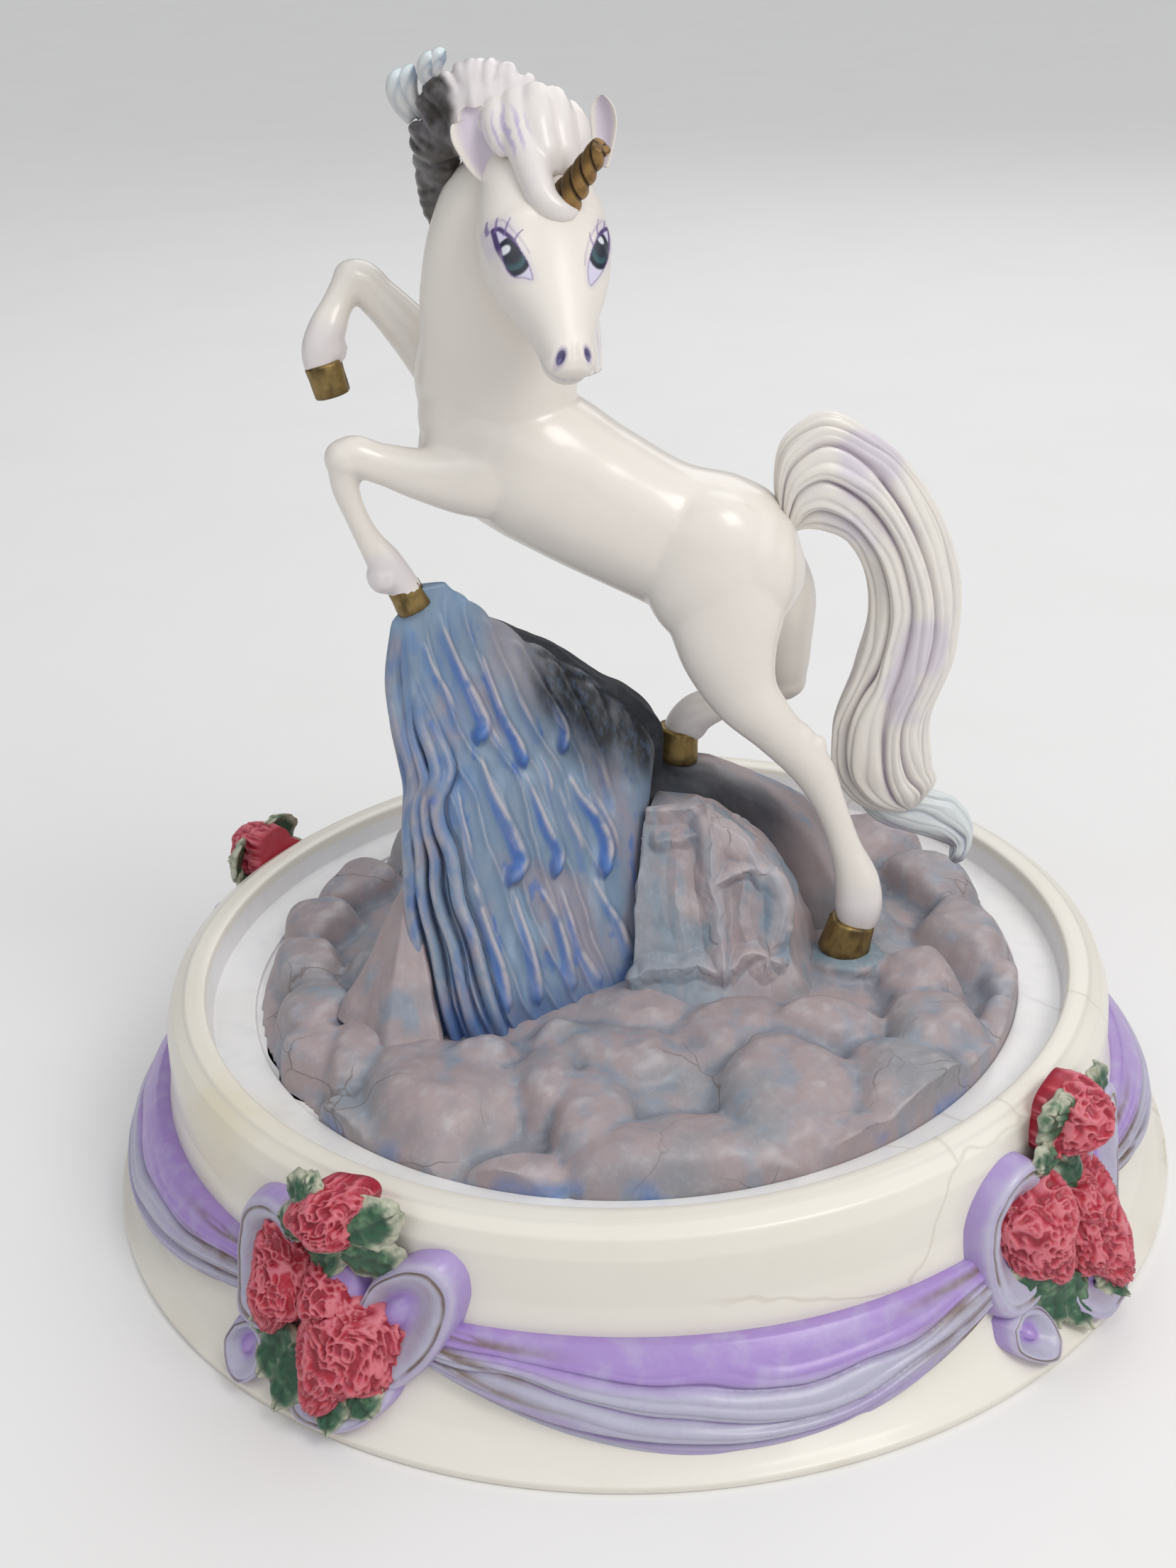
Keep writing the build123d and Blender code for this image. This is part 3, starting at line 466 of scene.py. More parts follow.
@dataclass(frozen=True)
class Finish:
    """One painted finish: color or the mesh's own paint, gloss, mottling, hairline cracks and grain.

    Lengths are in millimetres.
    """

    name: str
    color: Color | None = None
    roughness: float = 0.4
    coat: float = 0.0
    metallic: float = 0.0
    mottle: float = 0.06
    mottle_size: float = 6.0
    tint: Color = (0.62, 0.58, 0.5)
    crack: float = 0.0
    crack_size: float = 12.0
    crack_tint: Color = (0.16, 0.13, 0.12)
    grain: float = 0.03
    grain_size: float = 0.8
    stretch: tuple[float, float, float] = (1.0, 1.0, 1.0)
    streak: float = 0.0
    streak_tint: Color = (0.75, 0.8, 0.86)

    def material(self) -> bpy.types.Material:
        """Builds the node material: paint, mottled by noise, lined by cracks, with grain as bump."""
        made = bpy.data.materials.get(self.name)
        if made:
            return made
        made = bpy.data.materials.new(self.name)
        made.use_nodes = True
        tree = made.node_tree
        link = tree.links.new
        shader = tree.nodes["Principled BSDF"]

        def fill(node: Node, **values: float) -> Node:
            """Sets some inputs of a node, by input name with _ for a space."""
            for key, value in values.items():
                node.inputs[key.replace("_", " ")].default_value = value
            return node

        def add(kind: str, **values: float) -> Node:
            """A new node with some of its inputs set."""
            return fill(tree.nodes.new("ShaderNode" + kind), **values)

        def noise_on(place: Socket, size: float, times: float, **values: float) -> Node:
            """Noise laid on a place, its grains a size in millimetres over a number of times."""
            node = add("TexNoise", Scale=1 / (size * METRES) * times, **values)
            link(place, node.inputs["Vector"])
            return node

        def product(first: Socket, second: Socket | float) -> Socket:
            """Two values multiplied; the second may be a plain number."""
            node = add("Math")
            node.operation = "MULTIPLY"
            link(first, node.inputs[0])
            if isinstance(second, Socket):
                link(second, node.inputs[1])
            else:
                node.inputs[1].default_value = second
            return node.outputs[0]

        def mixed(share: Socket, first: Socket, tint: Color, most: float) -> Socket:
            """The first color, turned to the tint by up to most where share is 1."""
            node = add("Mix")
            node.data_type = "RGBA"
            link(product(share, most), node.inputs[0])
            link(first, node.inputs[6])
            node.inputs[7].default_value = (*tint, 1)
            return node.outputs[2]

        def threshold(value: Socket, low: float, high: float) -> Socket:
            """A value mapped so that low gives 0 and high gives 1, held to that range."""
            node = add("MapRange", From_Min=low, From_Max=high)
            node.interpolation_type = "SMOOTHSTEP"
            link(value, node.inputs["Value"])
            return node.outputs[0]

        def bumped(height: Socket, strength: float, depth: float) -> Node:
            """A bump from a height, its depth in millimetres."""
            node = add("Bump", Strength=strength, Distance=depth * METRES)
            link(height, node.inputs["Height"])
            return node

        fill(shader, Roughness=self.roughness, Metallic=self.metallic)
        fill(shader, Coat_Weight=self.coat, Coat_Roughness=0.12)
        spot = add("TexCoord").outputs["Object"]
        stretched = add("Mapping", Scale=self.stretch)
        link(spot, stretched.inputs["Vector"])
        place = stretched.outputs[0]
        if self.color is None:
            base = add("Attribute")
            base.attribute_name = "paint"
        else:
            base = add("RGB")
            base.outputs[0].default_value = (*self.color, 1)
        cloud = noise_on(place, self.mottle_size, 1, Detail=4.0).outputs[0]
        color = mixed(threshold(cloud, 0.42, 0.72), base.outputs["Color"], self.tint, self.mottle)
        if self.streak:
            wash = noise_on(place, self.mottle_size, 2.7, Detail=5.0, Roughness=0.7).outputs[0]
            color = mixed(threshold(wash, 0.48, 0.66), color, self.streak_tint, self.streak)
        fine = noise_on(place, self.grain_size, 1, Detail=3.0).outputs[0]
        normal = bumped(fine, 0.6, self.grain).outputs[0]
        if self.crack:
            warp = noise_on(spot, self.crack_size, 1.6, Detail=3.0)
            shift = add("VectorMath")
            shift.operation = "SCALE"
            fill(shift, Scale=self.crack_size * METRES * 0.5)
            link(warp.outputs["Color"], shift.inputs[0])
            total = add("VectorMath")
            link(shift.outputs[0], total.inputs[0])
            link(spot, total.inputs[1])
            cells = add("TexVoronoi", Scale=1 / (self.crack_size * METRES))
            cells.feature = "DISTANCE_TO_EDGE"
            link(total.outputs[0], cells.inputs["Vector"])
            patches = noise_on(spot, self.crack_size, 0.55, Detail=1.0).outputs[0]
            lines = threshold(cells.outputs["Distance"], 0.012, 0.002)
            cracks = product(lines, threshold(patches, 0.52, 0.6))
            color = mixed(cracks, color, self.crack_tint, self.crack)
            cut = bumped(cracks, 0.5, 0.05)
            cut.invert = True
            link(normal, cut.inputs["Normal"])
            normal = cut.outputs[0]
        link(color, shader.inputs["Base Color"])
        link(normal, shader.inputs["Normal"])
        return made


class Slot(Enum):
    """The record's material slots."""

    IVORY = "ivory_gloss"
    FELT = "brown_felt"
    ROCK = "rock_paint"
    WATER = "water_paint"
    CREAM = "cream_gloss"
    HAIR = "hair_gloss"
    GILT = "gilt"
    CLOTH = "purple_cloth"
    ROSE = "rose_paint"
    LEAF = "leaf_paint"


FINISHES: dict[Slot, Finish] = {
    Slot.IVORY: Finish(
        "ivory glaze", roughness=0.36, coat=0.25, mottle=0.16, mottle_size=26, tint=(0.66, 0.6, 0.47),
        crack=0.35, crack_size=30, crack_tint=(0.52, 0.46, 0.38), grain=0.04, grain_size=1.6,
    ),
    Slot.FELT: Finish("brown felt", (0.1, 0.06, 0.04), 0.95, mottle=0.4, grain=0.2, grain_size=0.5),
    Slot.ROCK: Finish(
        "rock wash", roughness=0.44, mottle=0.3, mottle_size=3.5, tint=(0.22, 0.25, 0.3),
        crack=0.7, crack_size=13.0, streak=0.22, streak_tint=(0.44, 0.45, 0.49),
        grain=0.09, grain_size=0.9, stretch=(1, 1, 0.6),
    ),
    Slot.WATER: Finish(
        "water wash", roughness=0.42, mottle=0.25, mottle_size=2.0, tint=(0.34, 0.35, 0.4),
        streak=0.22, streak_tint=(0.12, 0.2, 0.36), grain=0.06, grain_size=0.6, stretch=(1, 1, 0.22),
    ),
    Slot.CREAM: Finish(
        "cream glaze", roughness=0.3, coat=0.35, mottle=0.1, mottle_size=9, tint=(0.6, 0.55, 0.52),
        grain=0.025, grain_size=1.4,
    ),
    Slot.HAIR: Finish(
        "hair wash", roughness=0.34, coat=0.25, mottle=0.16, mottle_size=3.0, tint=(0.6, 0.58, 0.66),
        grain=0.03, grain_size=0.7,
    ),
    Slot.GILT: Finish(
        "worn gilt", roughness=0.42, metallic=0.75, mottle=0.55, mottle_size=1.1, tint=(0.1, 0.065, 0.03),
        grain=0.09, grain_size=0.5,
    ),
    Slot.CLOTH: Finish(
        "lilac cloth paint", roughness=0.36, coat=0.2, mottle=0.3, mottle_size=3.0, tint=(0.5, 0.5, 0.62),
        streak=0.2, streak_tint=(0.36, 0.24, 0.52), grain=0.05, grain_size=0.7,
    ),
    Slot.ROSE: Finish(
        "bloom paint", roughness=0.42, mottle=0.3, mottle_size=1.2, tint=(0.55, 0.1, 0.18),
        grain=0.04, grain_size=0.3,
    ),
    Slot.LEAF: Finish(
        "leaf paint", roughness=0.4, coat=0.1, mottle=0.4, mottle_size=1.0, tint=(0.03, 0.09, 0.05),
        grain=0.05, grain_size=0.4,
    ),
}


def show(name: str, shell: Shell, slot: Slot, *nodes: str, finish: Finish | None = None) -> None:
    """Makes a piece from a shell, dresses it and lets it ride on the one body for its CAD nodes.

    Args:
        name: the piece's name.
        shell: its surface.
        slot: the record's slot that it takes its finish from.
        nodes: the CAD nodes that it replaces.
        finish: another finish than the slot's own.
    """
    piece = mesh_object(name, shell)
    piece.data.materials.append((finish or FINISHES[slot]).material())
    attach(piece, "root")
    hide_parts(*nodes)
    LOG.info("%s: %d faces", name, len(piece.data.polygons))


def placed(rows: Sequence[Sequence[float]]) -> Array:
    """Stations given in shares of the unicorn's stature, moved to millimetres above the table."""
    table = np.asarray(rows, float) * STATURE
    table[:, 2] += GROUND
    return table


def ways(around: int, down: int, edge: float) -> Array:
    """Unit directions over a sphere, in rings from near the top to near the foot, an edge angle off them."""
    u, v = circle(around), np.linspace(edge, np.pi - edge, down)[:, None]
    return np.stack([np.sin(v) * np.cos(u), np.sin(v) * np.sin(u), np.cos(v) * np.ones_like(u)], -1)


def ball(middle: Sequence[float], radii: Sequence[float], seed: int = 0, rough: float = 0.0) -> Shell:
    """An ellipsoid: middle plus radii times a direction, with its radius varied by noise."""
    way = ways(40, 22, 0.06)
    swell = 1 + rough * noise(way * 3, 1.0, seed)[..., None]
    return shell_of(np.asarray(middle, float) + way * np.asarray(radii, float) * swell)


def stone(middle: Sequence[float], half: Sequence[float], seed: int) -> Shell:
    """A rounded stone with flat facets.

    In each direction the radius is one over the power mean of the facets that face that way: the
    sum of max(0, normal . direction / distance) to the power, to one over the power.

    Args:
        middle: centre in millimetres.
        half: half sizes across, deep and up.
        seed: picks the facets.

    Returns:
        The stone's shell.
    """
    rng = np.random.default_rng(seed)
    turn = (np.arange(FACETS) + rng.uniform(-0.35, 0.35, FACETS)) * 2 * np.pi * 0.618
    lift = rng.uniform(0.0, 1 - STEEPNESS, FACETS)
    normals = unit(np.stack([np.cos(turn), np.sin(turn), lift], -1))
    reach = rng.uniform(0.8, 1.0, FACETS)
    lean = rng.uniform(-0.22, 0.22, 2)
    normals = np.concatenate([normals, unit(np.array([[lean[0], lean[1], 1.0], [0, 0, -1.0]]))])
    reach = np.concatenate([reach, [FLAT_TOP, 1.0]])
    way = ways(72, 40, 0.04)
    push = np.maximum(way @ normals.T / reach, 0) ** SHARPNESS
    radius = (push.sum(-1) + 1.16**-SHARPNESS) ** (-1 / SHARPNESS)
    radius = radius * (1 + 0.025 * layered(way * 2.2, 1.0, seed))
    return shell_of(np.asarray(middle, float) + way * radius[..., None] * np.asarray(half, float))


def neighbours_mean(shell: Shell, values: Array, steps: int) -> Array:
    """Values evened out over the surface: each step takes the mean of a point's neighbours."""
    faces = (shell.quads, shell.tris)
    pairs = np.concatenate([f[:, [k, (k + 1) % f.shape[1]]] for f in faces for k in range(f.shape[1])])
    a, b = np.concatenate([pairs, pairs[:, ::-1]]).T
    count = np.bincount(a, minlength=len(values)).astype(float)
    for _ in range(steps):
        sums = np.stack([np.bincount(a, values[b, k], len(values)) for k in range(values.shape[1])], -1)
        values = sums / np.maximum(count, 1)[:, None]
    return values


def normals_of(shell: Shell) -> Array:
    """Unit normals of the corners: sum of the face normals around each."""
    faces = shell.triangles()
    a, b, c = (shell.corners[faces[:, k]] for k in range(3))
    area = np.repeat(np.cross(b - a, c - a), 3, axis=0)
    return unit(np.stack([np.bincount(faces.ravel(), area[:, k], len(shell.corners)) for k in range(3)], -1))


def hollowness(shell: Shell, steps: int) -> Array:
    """How far each corner lies below its surroundings, in millimetres: above 0 in a crease."""
    return ((neighbours_mean(shell, shell.corners, steps) - shell.corners) * normals_of(shell)).sum(-1)


@dataclass
class Studio:
    """Camera at the photo's viewing angle, pale floor and backdrop, and soft lamps."""

    lens: float = 2946.84 / 2212 * 36
    camera_place: tuple[float, float, float] = (0.0, -0.234473, 0.163878)
    right: tuple[float, float, float] = (0.99899, -0.00138, -0.04499)
    up: tuple[float, float, float] = (0.0411, 0.4358, 0.8991)
    floor_color: Color = (0.84, 0.83, 0.82)

    def camera(self) -> None:
        """Sets the camera from its fitted axes; the lens is the fitted focal length over the long side."""
        data = bpy.data.cameras.new("photo camera")
        data.lens, data.sensor_width, data.clip_start = self.lens, 36.0, 0.01
        right, up = Vector(self.right), Vector(self.up)
        back = right.cross(up).normalized()
        up = back.cross(right).normalized()
        axes = zip(right, up, back, self.camera_place)
        seen = linked("photo camera", data)
        seen.matrix_world = Matrix((*axes, (0, 0, 0, 1)))
        bpy.context.scene.camera = seen

    def floor(self) -> None:
        """A plain pale table, staged so that it is no part of the object."""
        half = 3.0
        mesh = bpy.data.meshes.new("table")
        corners = [(-half, -half, 0), (half, -half, 0), (half, half, 0), (-half, half, 0)]
        mesh.from_pydata(corners, [], [(0, 1, 2, 3)])
        finish = Finish("table top", self.floor_color, roughness=0.6, mottle=0.05, mottle_size=40, grain=0.0)
        mesh.materials.append(finish.material())
        linked("table", mesh)

    def lamp(self, name: str, place: Color, size: float, watts: float, color: Color) -> None:
        """One square area lamp that looks at the middle of the unicorn."""
        data = bpy.data.lights.new(name, "AREA")
        data.size, data.energy, data.color = size, watts, color
        lamp = linked(name, data)
        lamp.location = place
        lamp.rotation_euler = (Vector((0, 0, 0.06)) - Vector(place)).to_track_quat("-Z", "Y").to_euler()

    def sky(self) -> None:
        """A wide soft light from above that keeps the far table as pale as the near one."""
        data = bpy.data.lights.new("sky", "SUN")
        data.energy, data.angle, data.color = 1.75, 2.0, (0.98, 0.99, 1.0)
        linked("sky", data).rotation_euler = (0.35, 0.25, 0.0)

    def world(self) -> None:
        """An even pale surround: bright to the camera, softer as light."""
        world = bpy.data.worlds.new("studio")
        world.use_nodes = True
        tree = world.node_tree
        ground, seen = tree.nodes["Background"], tree.nodes.new("ShaderNodeBackground")
        lights = ((ground, (0.8, 0.82, 0.86, 1), 0.26), (seen, (0.78, 0.78, 0.79, 1), 1.0))
        for node, color, strength in lights:
            node.inputs["Color"].default_value = color
            node.inputs["Strength"].default_value = strength
        mix = tree.nodes.new("ShaderNodeMixShader")
        ray = tree.nodes.new("ShaderNodeLightPath")
        for k, socket in enumerate((ray.outputs["Is Camera Ray"], ground.outputs[0], seen.outputs[0])):
            tree.links.new(socket, mix.inputs[k])
        tree.links.new(mix.outputs[0], tree.nodes["World Output"].inputs["Surface"])
        bpy.context.scene.world = world

    def build(self) -> None:
        """Sets up the whole stage."""
        self.camera()
        self.floor()
        self.world()
        self.lamp("key", (0.3, -0.34, 0.52), 0.24, 1.2, (1.0, 0.97, 0.93))
        self.sky()
        self.lamp("fill", (-0.5, -0.3, 0.3), 0.5, 0.25, (0.93, 0.96, 1.0))
        self.lamp("rim", (0.15, 0.5, 0.45), 0.4, 0.7, (1.0, 1.0, 1.0))
        bpy.context.scene.view_settings.view_transform = "Standard"


@dataclass
class Plinth:
    """The turned plinth: rim, recess, shoulder, flared foot and the pocket for the felt."""

    ivory: Color = (0.79, 0.755, 0.675)
    recess: Color = (0.8, 0.79, 0.79)
    stain: Color = (0.7, 0.62, 0.42)
    outline: Sequence[tuple[float, float]] = (
        (0.6, 23), (30, 23), (48.9, 23), (49, 23.5), (54.4, 23.5), (54.75, 26), (55, 27.2), (56, 27.4),
        (57.5, 27.33), (58, 26.95), (59.3, 26.2), (60.1, 24), (60.2, 21.9), (60.35, 18), (61, 14),
        (61.9, 10.5), (63.4, 7.2), (65.6, 4), (67.7, 1.9), (68.75, 1.2), (68.8, 0.9), (68.6, 0), (64.95, 0),
        (64.95, 0.9), (30, 0.9), (0.6, 0.9),
    )

    def shell(self) -> Shell:
        """The profile turned about the axis: each point's radius times cosine and sine, and its height."""
        line = dense(rounded(self.outline, 0.35), 1.3)
        u = circle(300)
        radius, rise = line[:, :1], line[:, 1:]
        wavy = radius + 0.05 * np.sin(3 * u + 0.8) * (radius < 58) * (radius > 54.6)
        grid = np.stack([wavy * np.cos(u), wavy * np.sin(u), rise * np.ones_like(u)], -1)
        spots = grid.reshape(-1, 3)
        reach, high = np.hypot(spots[:, 0], spots[:, 1]), spots[:, 2]
        floor = (reach < 54.8) & (high > 20)
        near = np.linalg.norm(spots - [-50.0, -34.0, 24.0], axis=1) + 3 * layered(spots, 5.0, 9)
        low = fade(high, 0.2, 2.6) * ramp(layered(spots, 6, 3), -0.2, 0.8)
        color = washed(
            self.ivory,
            (self.recess, floor.astype(float)),
            ((0.66, 0.67, 0.72), 0.35 * floor * ramp(layered(spots, 1.4, 5), 0.1, 0.9)),
            (self.stain, 0.55 * fade(near, 4, 13)),
            ((0.6, 0.53, 0.42), 0.35 * low),
            ((0.62, 0.6, 0.56), 0.4 * bell(reach, 57.7, 0.25) * (high > 26)),
        )
        return shell_of(grid, color.reshape(grid.shape))

    def build(self) -> None:
        """Makes the plinth and dresses the felt pad, whose CAD mesh is right as it is."""
        show("plinth_turned", self.shell(), Slot.IVORY, "plinth")
        felt = FINISHES[Slot.FELT].material()
        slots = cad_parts["felt_pad"].data.materials
        for k in range(len(slots)):
            slots[k] = felt
        if not slots:
            slots.append(felt)


@dataclass
class Rock:
    """Everything cast as rock: the mound of boulders, the left rock, the ridge and the cascade rock.

    The last three are leaning blocks, given as a height and the corners of the outline there.
    """

    mauve: Color = (0.375, 0.3, 0.305)
    gray: Color = (0.285, 0.28, 0.295)
    blue: Color = (0.225, 0.3, 0.385)
    pale: Color = (0.5, 0.46, 0.47)
    dabs: Color = (0.1, 0.21, 0.5)
    # black: the near-black of the ridge's top, partly black paint and partly painted shadow
    black: Color = (0.012, 0.015, 0.022)
    boulders: Sequence[tuple[float, ...]] = (
        (-24, -30.3, 10.8, 12, 7.6), (-4.6, -36.6, 5, 9, 6.6), (4.3, -42.3, 11.8, 7.2, 5.8),
        (17, -33.9, 11.2, 11, 7.2), (31.7, -32.7, 9.2, 9.4, 6.8), (35.6, -22.4, 7.6, 7.5, 7.4),
        (35.2, -10.7, 5.8, 5.4, 8.4), (43, 0.9, 6, 11, 7.4), (23.1, -21.5, 8, 5, 8),
        (-39.9, -13.6, 5.8, 7.2, 7.2), (-39, -20.9, 4.6, 6.2, 6.6), (-33.1, -22.1, 4.6, 7.6, 7.2),
        (-42, -0.4, 5.2, 6, 7), (-41.3, 9.8, 5.9, 6.4, 7), (-37.1, 21.1, 6.2, 6.2, 6.8),
        (0.4, -16.5, 9.8, 6.6, 8.2), (-1.6, -26.7, 9.4, 7.6, 7.6), (-10.7, -29.8, 4.8, 10, 7.4),
        (12.1, -22.2, 6.6, 9, 7.6), (41, 14.8, 6.8, 7.2, 7.2), (33, 28, 8.5, 8, 6.6), (20, 37, 9, 7.6, 6.4),
        (4, 41, 9, 6.6, 6.2), (-13, 39, 9, 7.2, 6.4), (-27, 31, 8.4, 8, 6.6), (24.5, 3, 9.5, 8.6, 8.6),
        (14, 16, 11, 9, 8.4), (-4, 19, 12, 10, 8.2), (-22, 12, 11, 10, 8), (27, 16, 8, 8, 8),
        (-28, -3, 9, 9, 7.8), (46, -9, 2.8, 5, 4.4), (44.6, -17.5, 3.2, 4.6, 4.2),
        (-14, -44.6, 6.4, 4, 3.9), (-18.6, -26.8, 7, 4.6, 8.4), (-9, -23.2, 5, 4, 7.6),
        (-33.5, -33.5, 4.2, 4.8, 4), (24.5, -41.5, 6, 4.4, 4.2), (39.5, -27.5, 4.4, 4.6, 4.4),
    )

    left_levels: Sequence[tuple] = (
        (28, ((-36.6, -16.6), (-30, -24.6), (-23, -24.4), (-23.6, -10), (-34.4, -8))),
        (33, ((-33.8, -15), (-29.2, -21.6), (-24, -21.2), (-24.4, -9.5), (-32.4, -8))),
        (37.5, ((-31, -13.4), (-28.3, -18), (-25, -17.6), (-25.2, -9.5), (-30.2, -8.5))),
        (41.5, ((-28.8, -12.2), (-27.4, -14.6), (-26, -14.2), (-26, -9.8), (-28.2, -9.2))),
        (44.2, ((-27.2, -11.8), (-26.9, -12.4), (-26.5, -12.2), (-26.5, -11.2), (-27, -11))),
    )
    cascade_levels: Sequence[tuple] = (
        (27, ((-1.6, -18.4), (11, -19), (21.6, -16.8), (25.5, -4), (3.4, 1))),
        (31.5, ((-0.4, -16), (10.8, -16.4), (19.6, -14.6), (23, -3.5), (3.4, 1))),
        (37, ((0, -12.8), (10.4, -13.2), (18.6, -11.6), (21, -3), (3.4, 1))),
        (41, ((0.3, -10.6), (9.8, -11), (17.6, -10.2), (18.8, -2.5), (3.4, 1))),
        (43.5, ((0.8, -9.4), (9.6, -9.7), (15.8, -8.9), (16.8, -2), (3.4, 1))),
        (46, ((1.2, -8.1), (9.4, -8.4), (13, -7.2), (14, -2), (3.4, 1))),
        (48.4, ((1.8, -6.9), (8.8, -7), (10.4, -6), (10.8, -2), (3.6, 0.6))),
        (49.8, ((2.8, -5.9), (7.4, -6), (8.4, -5.2), (8.6, -3), (3.8, -1.6))),
    )
    ridge_levels: Sequence[tuple] = (
        (27, ((-24, -4), (6, -3), (31, -2), (34, 13), (-22, 18))),
        (36, ((-25, -3), (6, -2), (26, 0), (27, 12), (-21, 12))),
        (42, ((-25.5, -2.5), (6, -1), (22.5, 0.5), (23.5, 11), (-20, 9))),
        (45.2, ((-25.8, -2), (6, 0), (18.6, 1), (19.5, 10), (-19.5, 8))),
        (48, ((-26, -2), (5, 0.5), (13.4, 1.4), (14, 10), (-19, 7.5))),
        (49.6, ((-26, -1.8), (4, 0.5), (9.6, 2), (10, 10), (-18, 7))),
        (50.6, ((-26, -1.5), (2.5, 0), (4.8, 1.4), (4, 7.4), (-17, 7))),
        (57.6, ((-26, -1.5), (2.4, 0), (4.6, 1.2), (4, 5), (-17.5, 6))),
        (61, ((-26, -1.5), (-0.8, 0), (1.4, 1.3), (1, 4.4), (-18, 5.5))),
        (65, ((-26, -1.5), (-5.4, -0.2), (-4, 1.1), (-4.4, 3.8), (-19, 5))),
        (69, ((-26, -1.6), (-9.8, -0.4), (-8.4, 0.9), (-9, 3), (-20, 4))),
        (72.4, ((-26, -1.8), (-15.2, -0.8), (-14.6, 0.5), (-15.2, 2.2), (-21.5, 2.6))),
        (74, ((-25.5, -2), (-18, -1.6), (-17.5, -0.6), (-18, 0.6), (-22.5, 0.4))),
    )
    edges: Sequence[tuple] = (
        (((2.7, 49.4), (5.1, 49.5), (8.3, 49.1), (9.2, 48.3)), 1, 0.6),
        (((9.2, 48.4), (9.8, 45.3), (9.8, 41.6), (10.4, 36.3), (10.6, 32.2)), 1.3, 1.1),
        (
            (
                (9.2, 48.3), (10.9, 46.8), (13.4, 45.7), (15.4, 43), (17.5, 41.3), (18.1, 38.4), (17.3, 35),
                (15.9, 32),
            ),
            1.3, 0.9,
        ),
        (((3.6, 46.1), (5.7, 46.3), (8.8, 47)), 0.9, 0.6),
        (((9.8, 41.7), (12.4, 42.6), (15.2, 43)), 1, 0.9),
        (
            ((-1.3, 30.8), (1.9, 32.7), (5.1, 32.4), (7.7, 33), (10.6, 31.8), (13.6, 33.4), (17.5, 32)), 1,
            0.8,
        ),
        (((5.9, 45), (5.5, 40), (6.4, 35)), 0.9, 0.25), (((13.6, 41), (13.2, 37), (13.9, 34)), 0.9, 0.3),
    )

    def mound(self) -> Shell:
        """A low dome with the boulders sunk into it, fused and softened."""
        rows = enumerate(self.boulders)
        stones = [stone((x, y, 22.9), (a * 1.1, b * 1.1, h), 11 + k) for k, (x, y, a, b, h) in rows]
        dome, table = ball((0, 0, 20.0), (45.5, 45.5, 9.8)), ball((0, 0, 23.0), (48.6, 48.6, 2.4))
        pad = ball((26.6, -8.4, 29.0), (5.2, 4.2, 1.7), 4, 0.12)
        shell = fused([dome, table, pad, *stones], 0.64, 4)
        spots = shell.corners
        rough = 0.22 * layered(spots, 2.6, 5) * ramp(spots[:, 2], 24.5, 27)
        spots[:, 2] = np.maximum(spots[:, 2] + rough, 23.02)
        reach = np.hypot(spots[:, 0], spots[:, 1])
        spots[:, :2] *= np.minimum(1, 48.95 / np.maximum(reach, 1e-6))[:, None]
        return shell

    def block(self, levels: Sequence[tuple], counts: Sequence[int], rings: int, seed: int) -> Array:
        """A leaning block roughened by two sizes of noise, weaker towards its ends."""
        grid, _ = ringed(levels, counts, rings, 5, 7)
        t = np.linspace(0, 1, rings)[:, None]
        fine = np.abs(layered(grid * [1, 1, 0.6], 2.4, seed + 5, 2))
        rough = 0.45 * layered(grid, 5.5, seed, 2) + 0.14 * fine
        return grid + outward_of(grid) * (rough * ramp(1 - t, 0.0, 0.06))[..., None]

    def painted(self, shell: Shell, cool: float = 0.0, near: int = 5, far: int = 15) -> Shell:
        """Mauve on the swells, gray below, a pale blue wash in the creases, painted shade in the wider
        hollows and dry-brushed edges.
        """
        spots = shell.corners
        deep = hollowness(shell, near)
        streaks = layered(spots * [1, 1, 0.3], 2.6, 8) + 0.4 * layered(spots, 8, 18)
        shell.paint = washed(
            self.mauve,
            (self.gray, ramp(layered(spots, 9, 2) + cool, -0.1, 1.0)),
            (self.blue, 0.55 * ramp(deep + 0.06 * layered(spots, 3, 4), 0.015, 0.2)),
            (self.blue, (0.55 + cool) * ramp(streaks, 0.15, 0.95)),
            # painted shade: darker in the wider hollows
            ((0.14, 0.13, 0.15), 0.55 * ramp(hollowness(shell, far), 0.1, 0.55)),
            (self.pale, 0.6 * ramp(-deep, 0.05, 0.2) * ramp(layered(spots, 1.3, 28), -0.4, 0.5)),
        )
        return shell

    def build(self) -> None:
        """Makes the four rock pieces."""
        mound = self.painted(self.mound())
        spots = mound.corners
        edge = ramp(np.hypot(spots[:, 0], spots[:, 1]), 46.4, 48.8) * fade(spots[:, 2], 24.0, 26.4)
        edge = edge * ramp(layered(spots, 5, 6), 0.1, 0.7) * (0.25 + 0.75 * ramp(-spots[:, 1], 10, 34))
        pad = np.linalg.norm((spots - [26.6, -8.4, 30]) / [5.0, 4.2, 4], axis=1)
        pad = pad + 0.22 * layered(spots, 1.4, 3)
        mound.wash((self.dabs, 0.6 * edge), ((0.13, 0.22, 0.27), 0.8 * fade(pad, 0.75, 1.15)))
        show("rock_mound_cast", mound, Slot.ROCK, "rock_mound")
        left = shell_of(self.block(self.left_levels, (40, 40, 30, 30, 30), 90, 3))
        show("left_rock_cast", self.painted(left, 0.1, 6, 20), Slot.ROCK, "left_rock")
        self.cascade()
        ridge = self.painted(shell_of(self.block(self.ridge_levels, (110, 66, 40, 80, 20), 150, 13)), 0.35)
        x, y, z = ridge.corners.T
        # near-black along the ridge's top: partly black paint, partly painted shadow
        dark = ramp(z + 0.9 * layered(ridge.corners, 3, 2), 48.6, 51.6) * ramp(x, -22, -15)
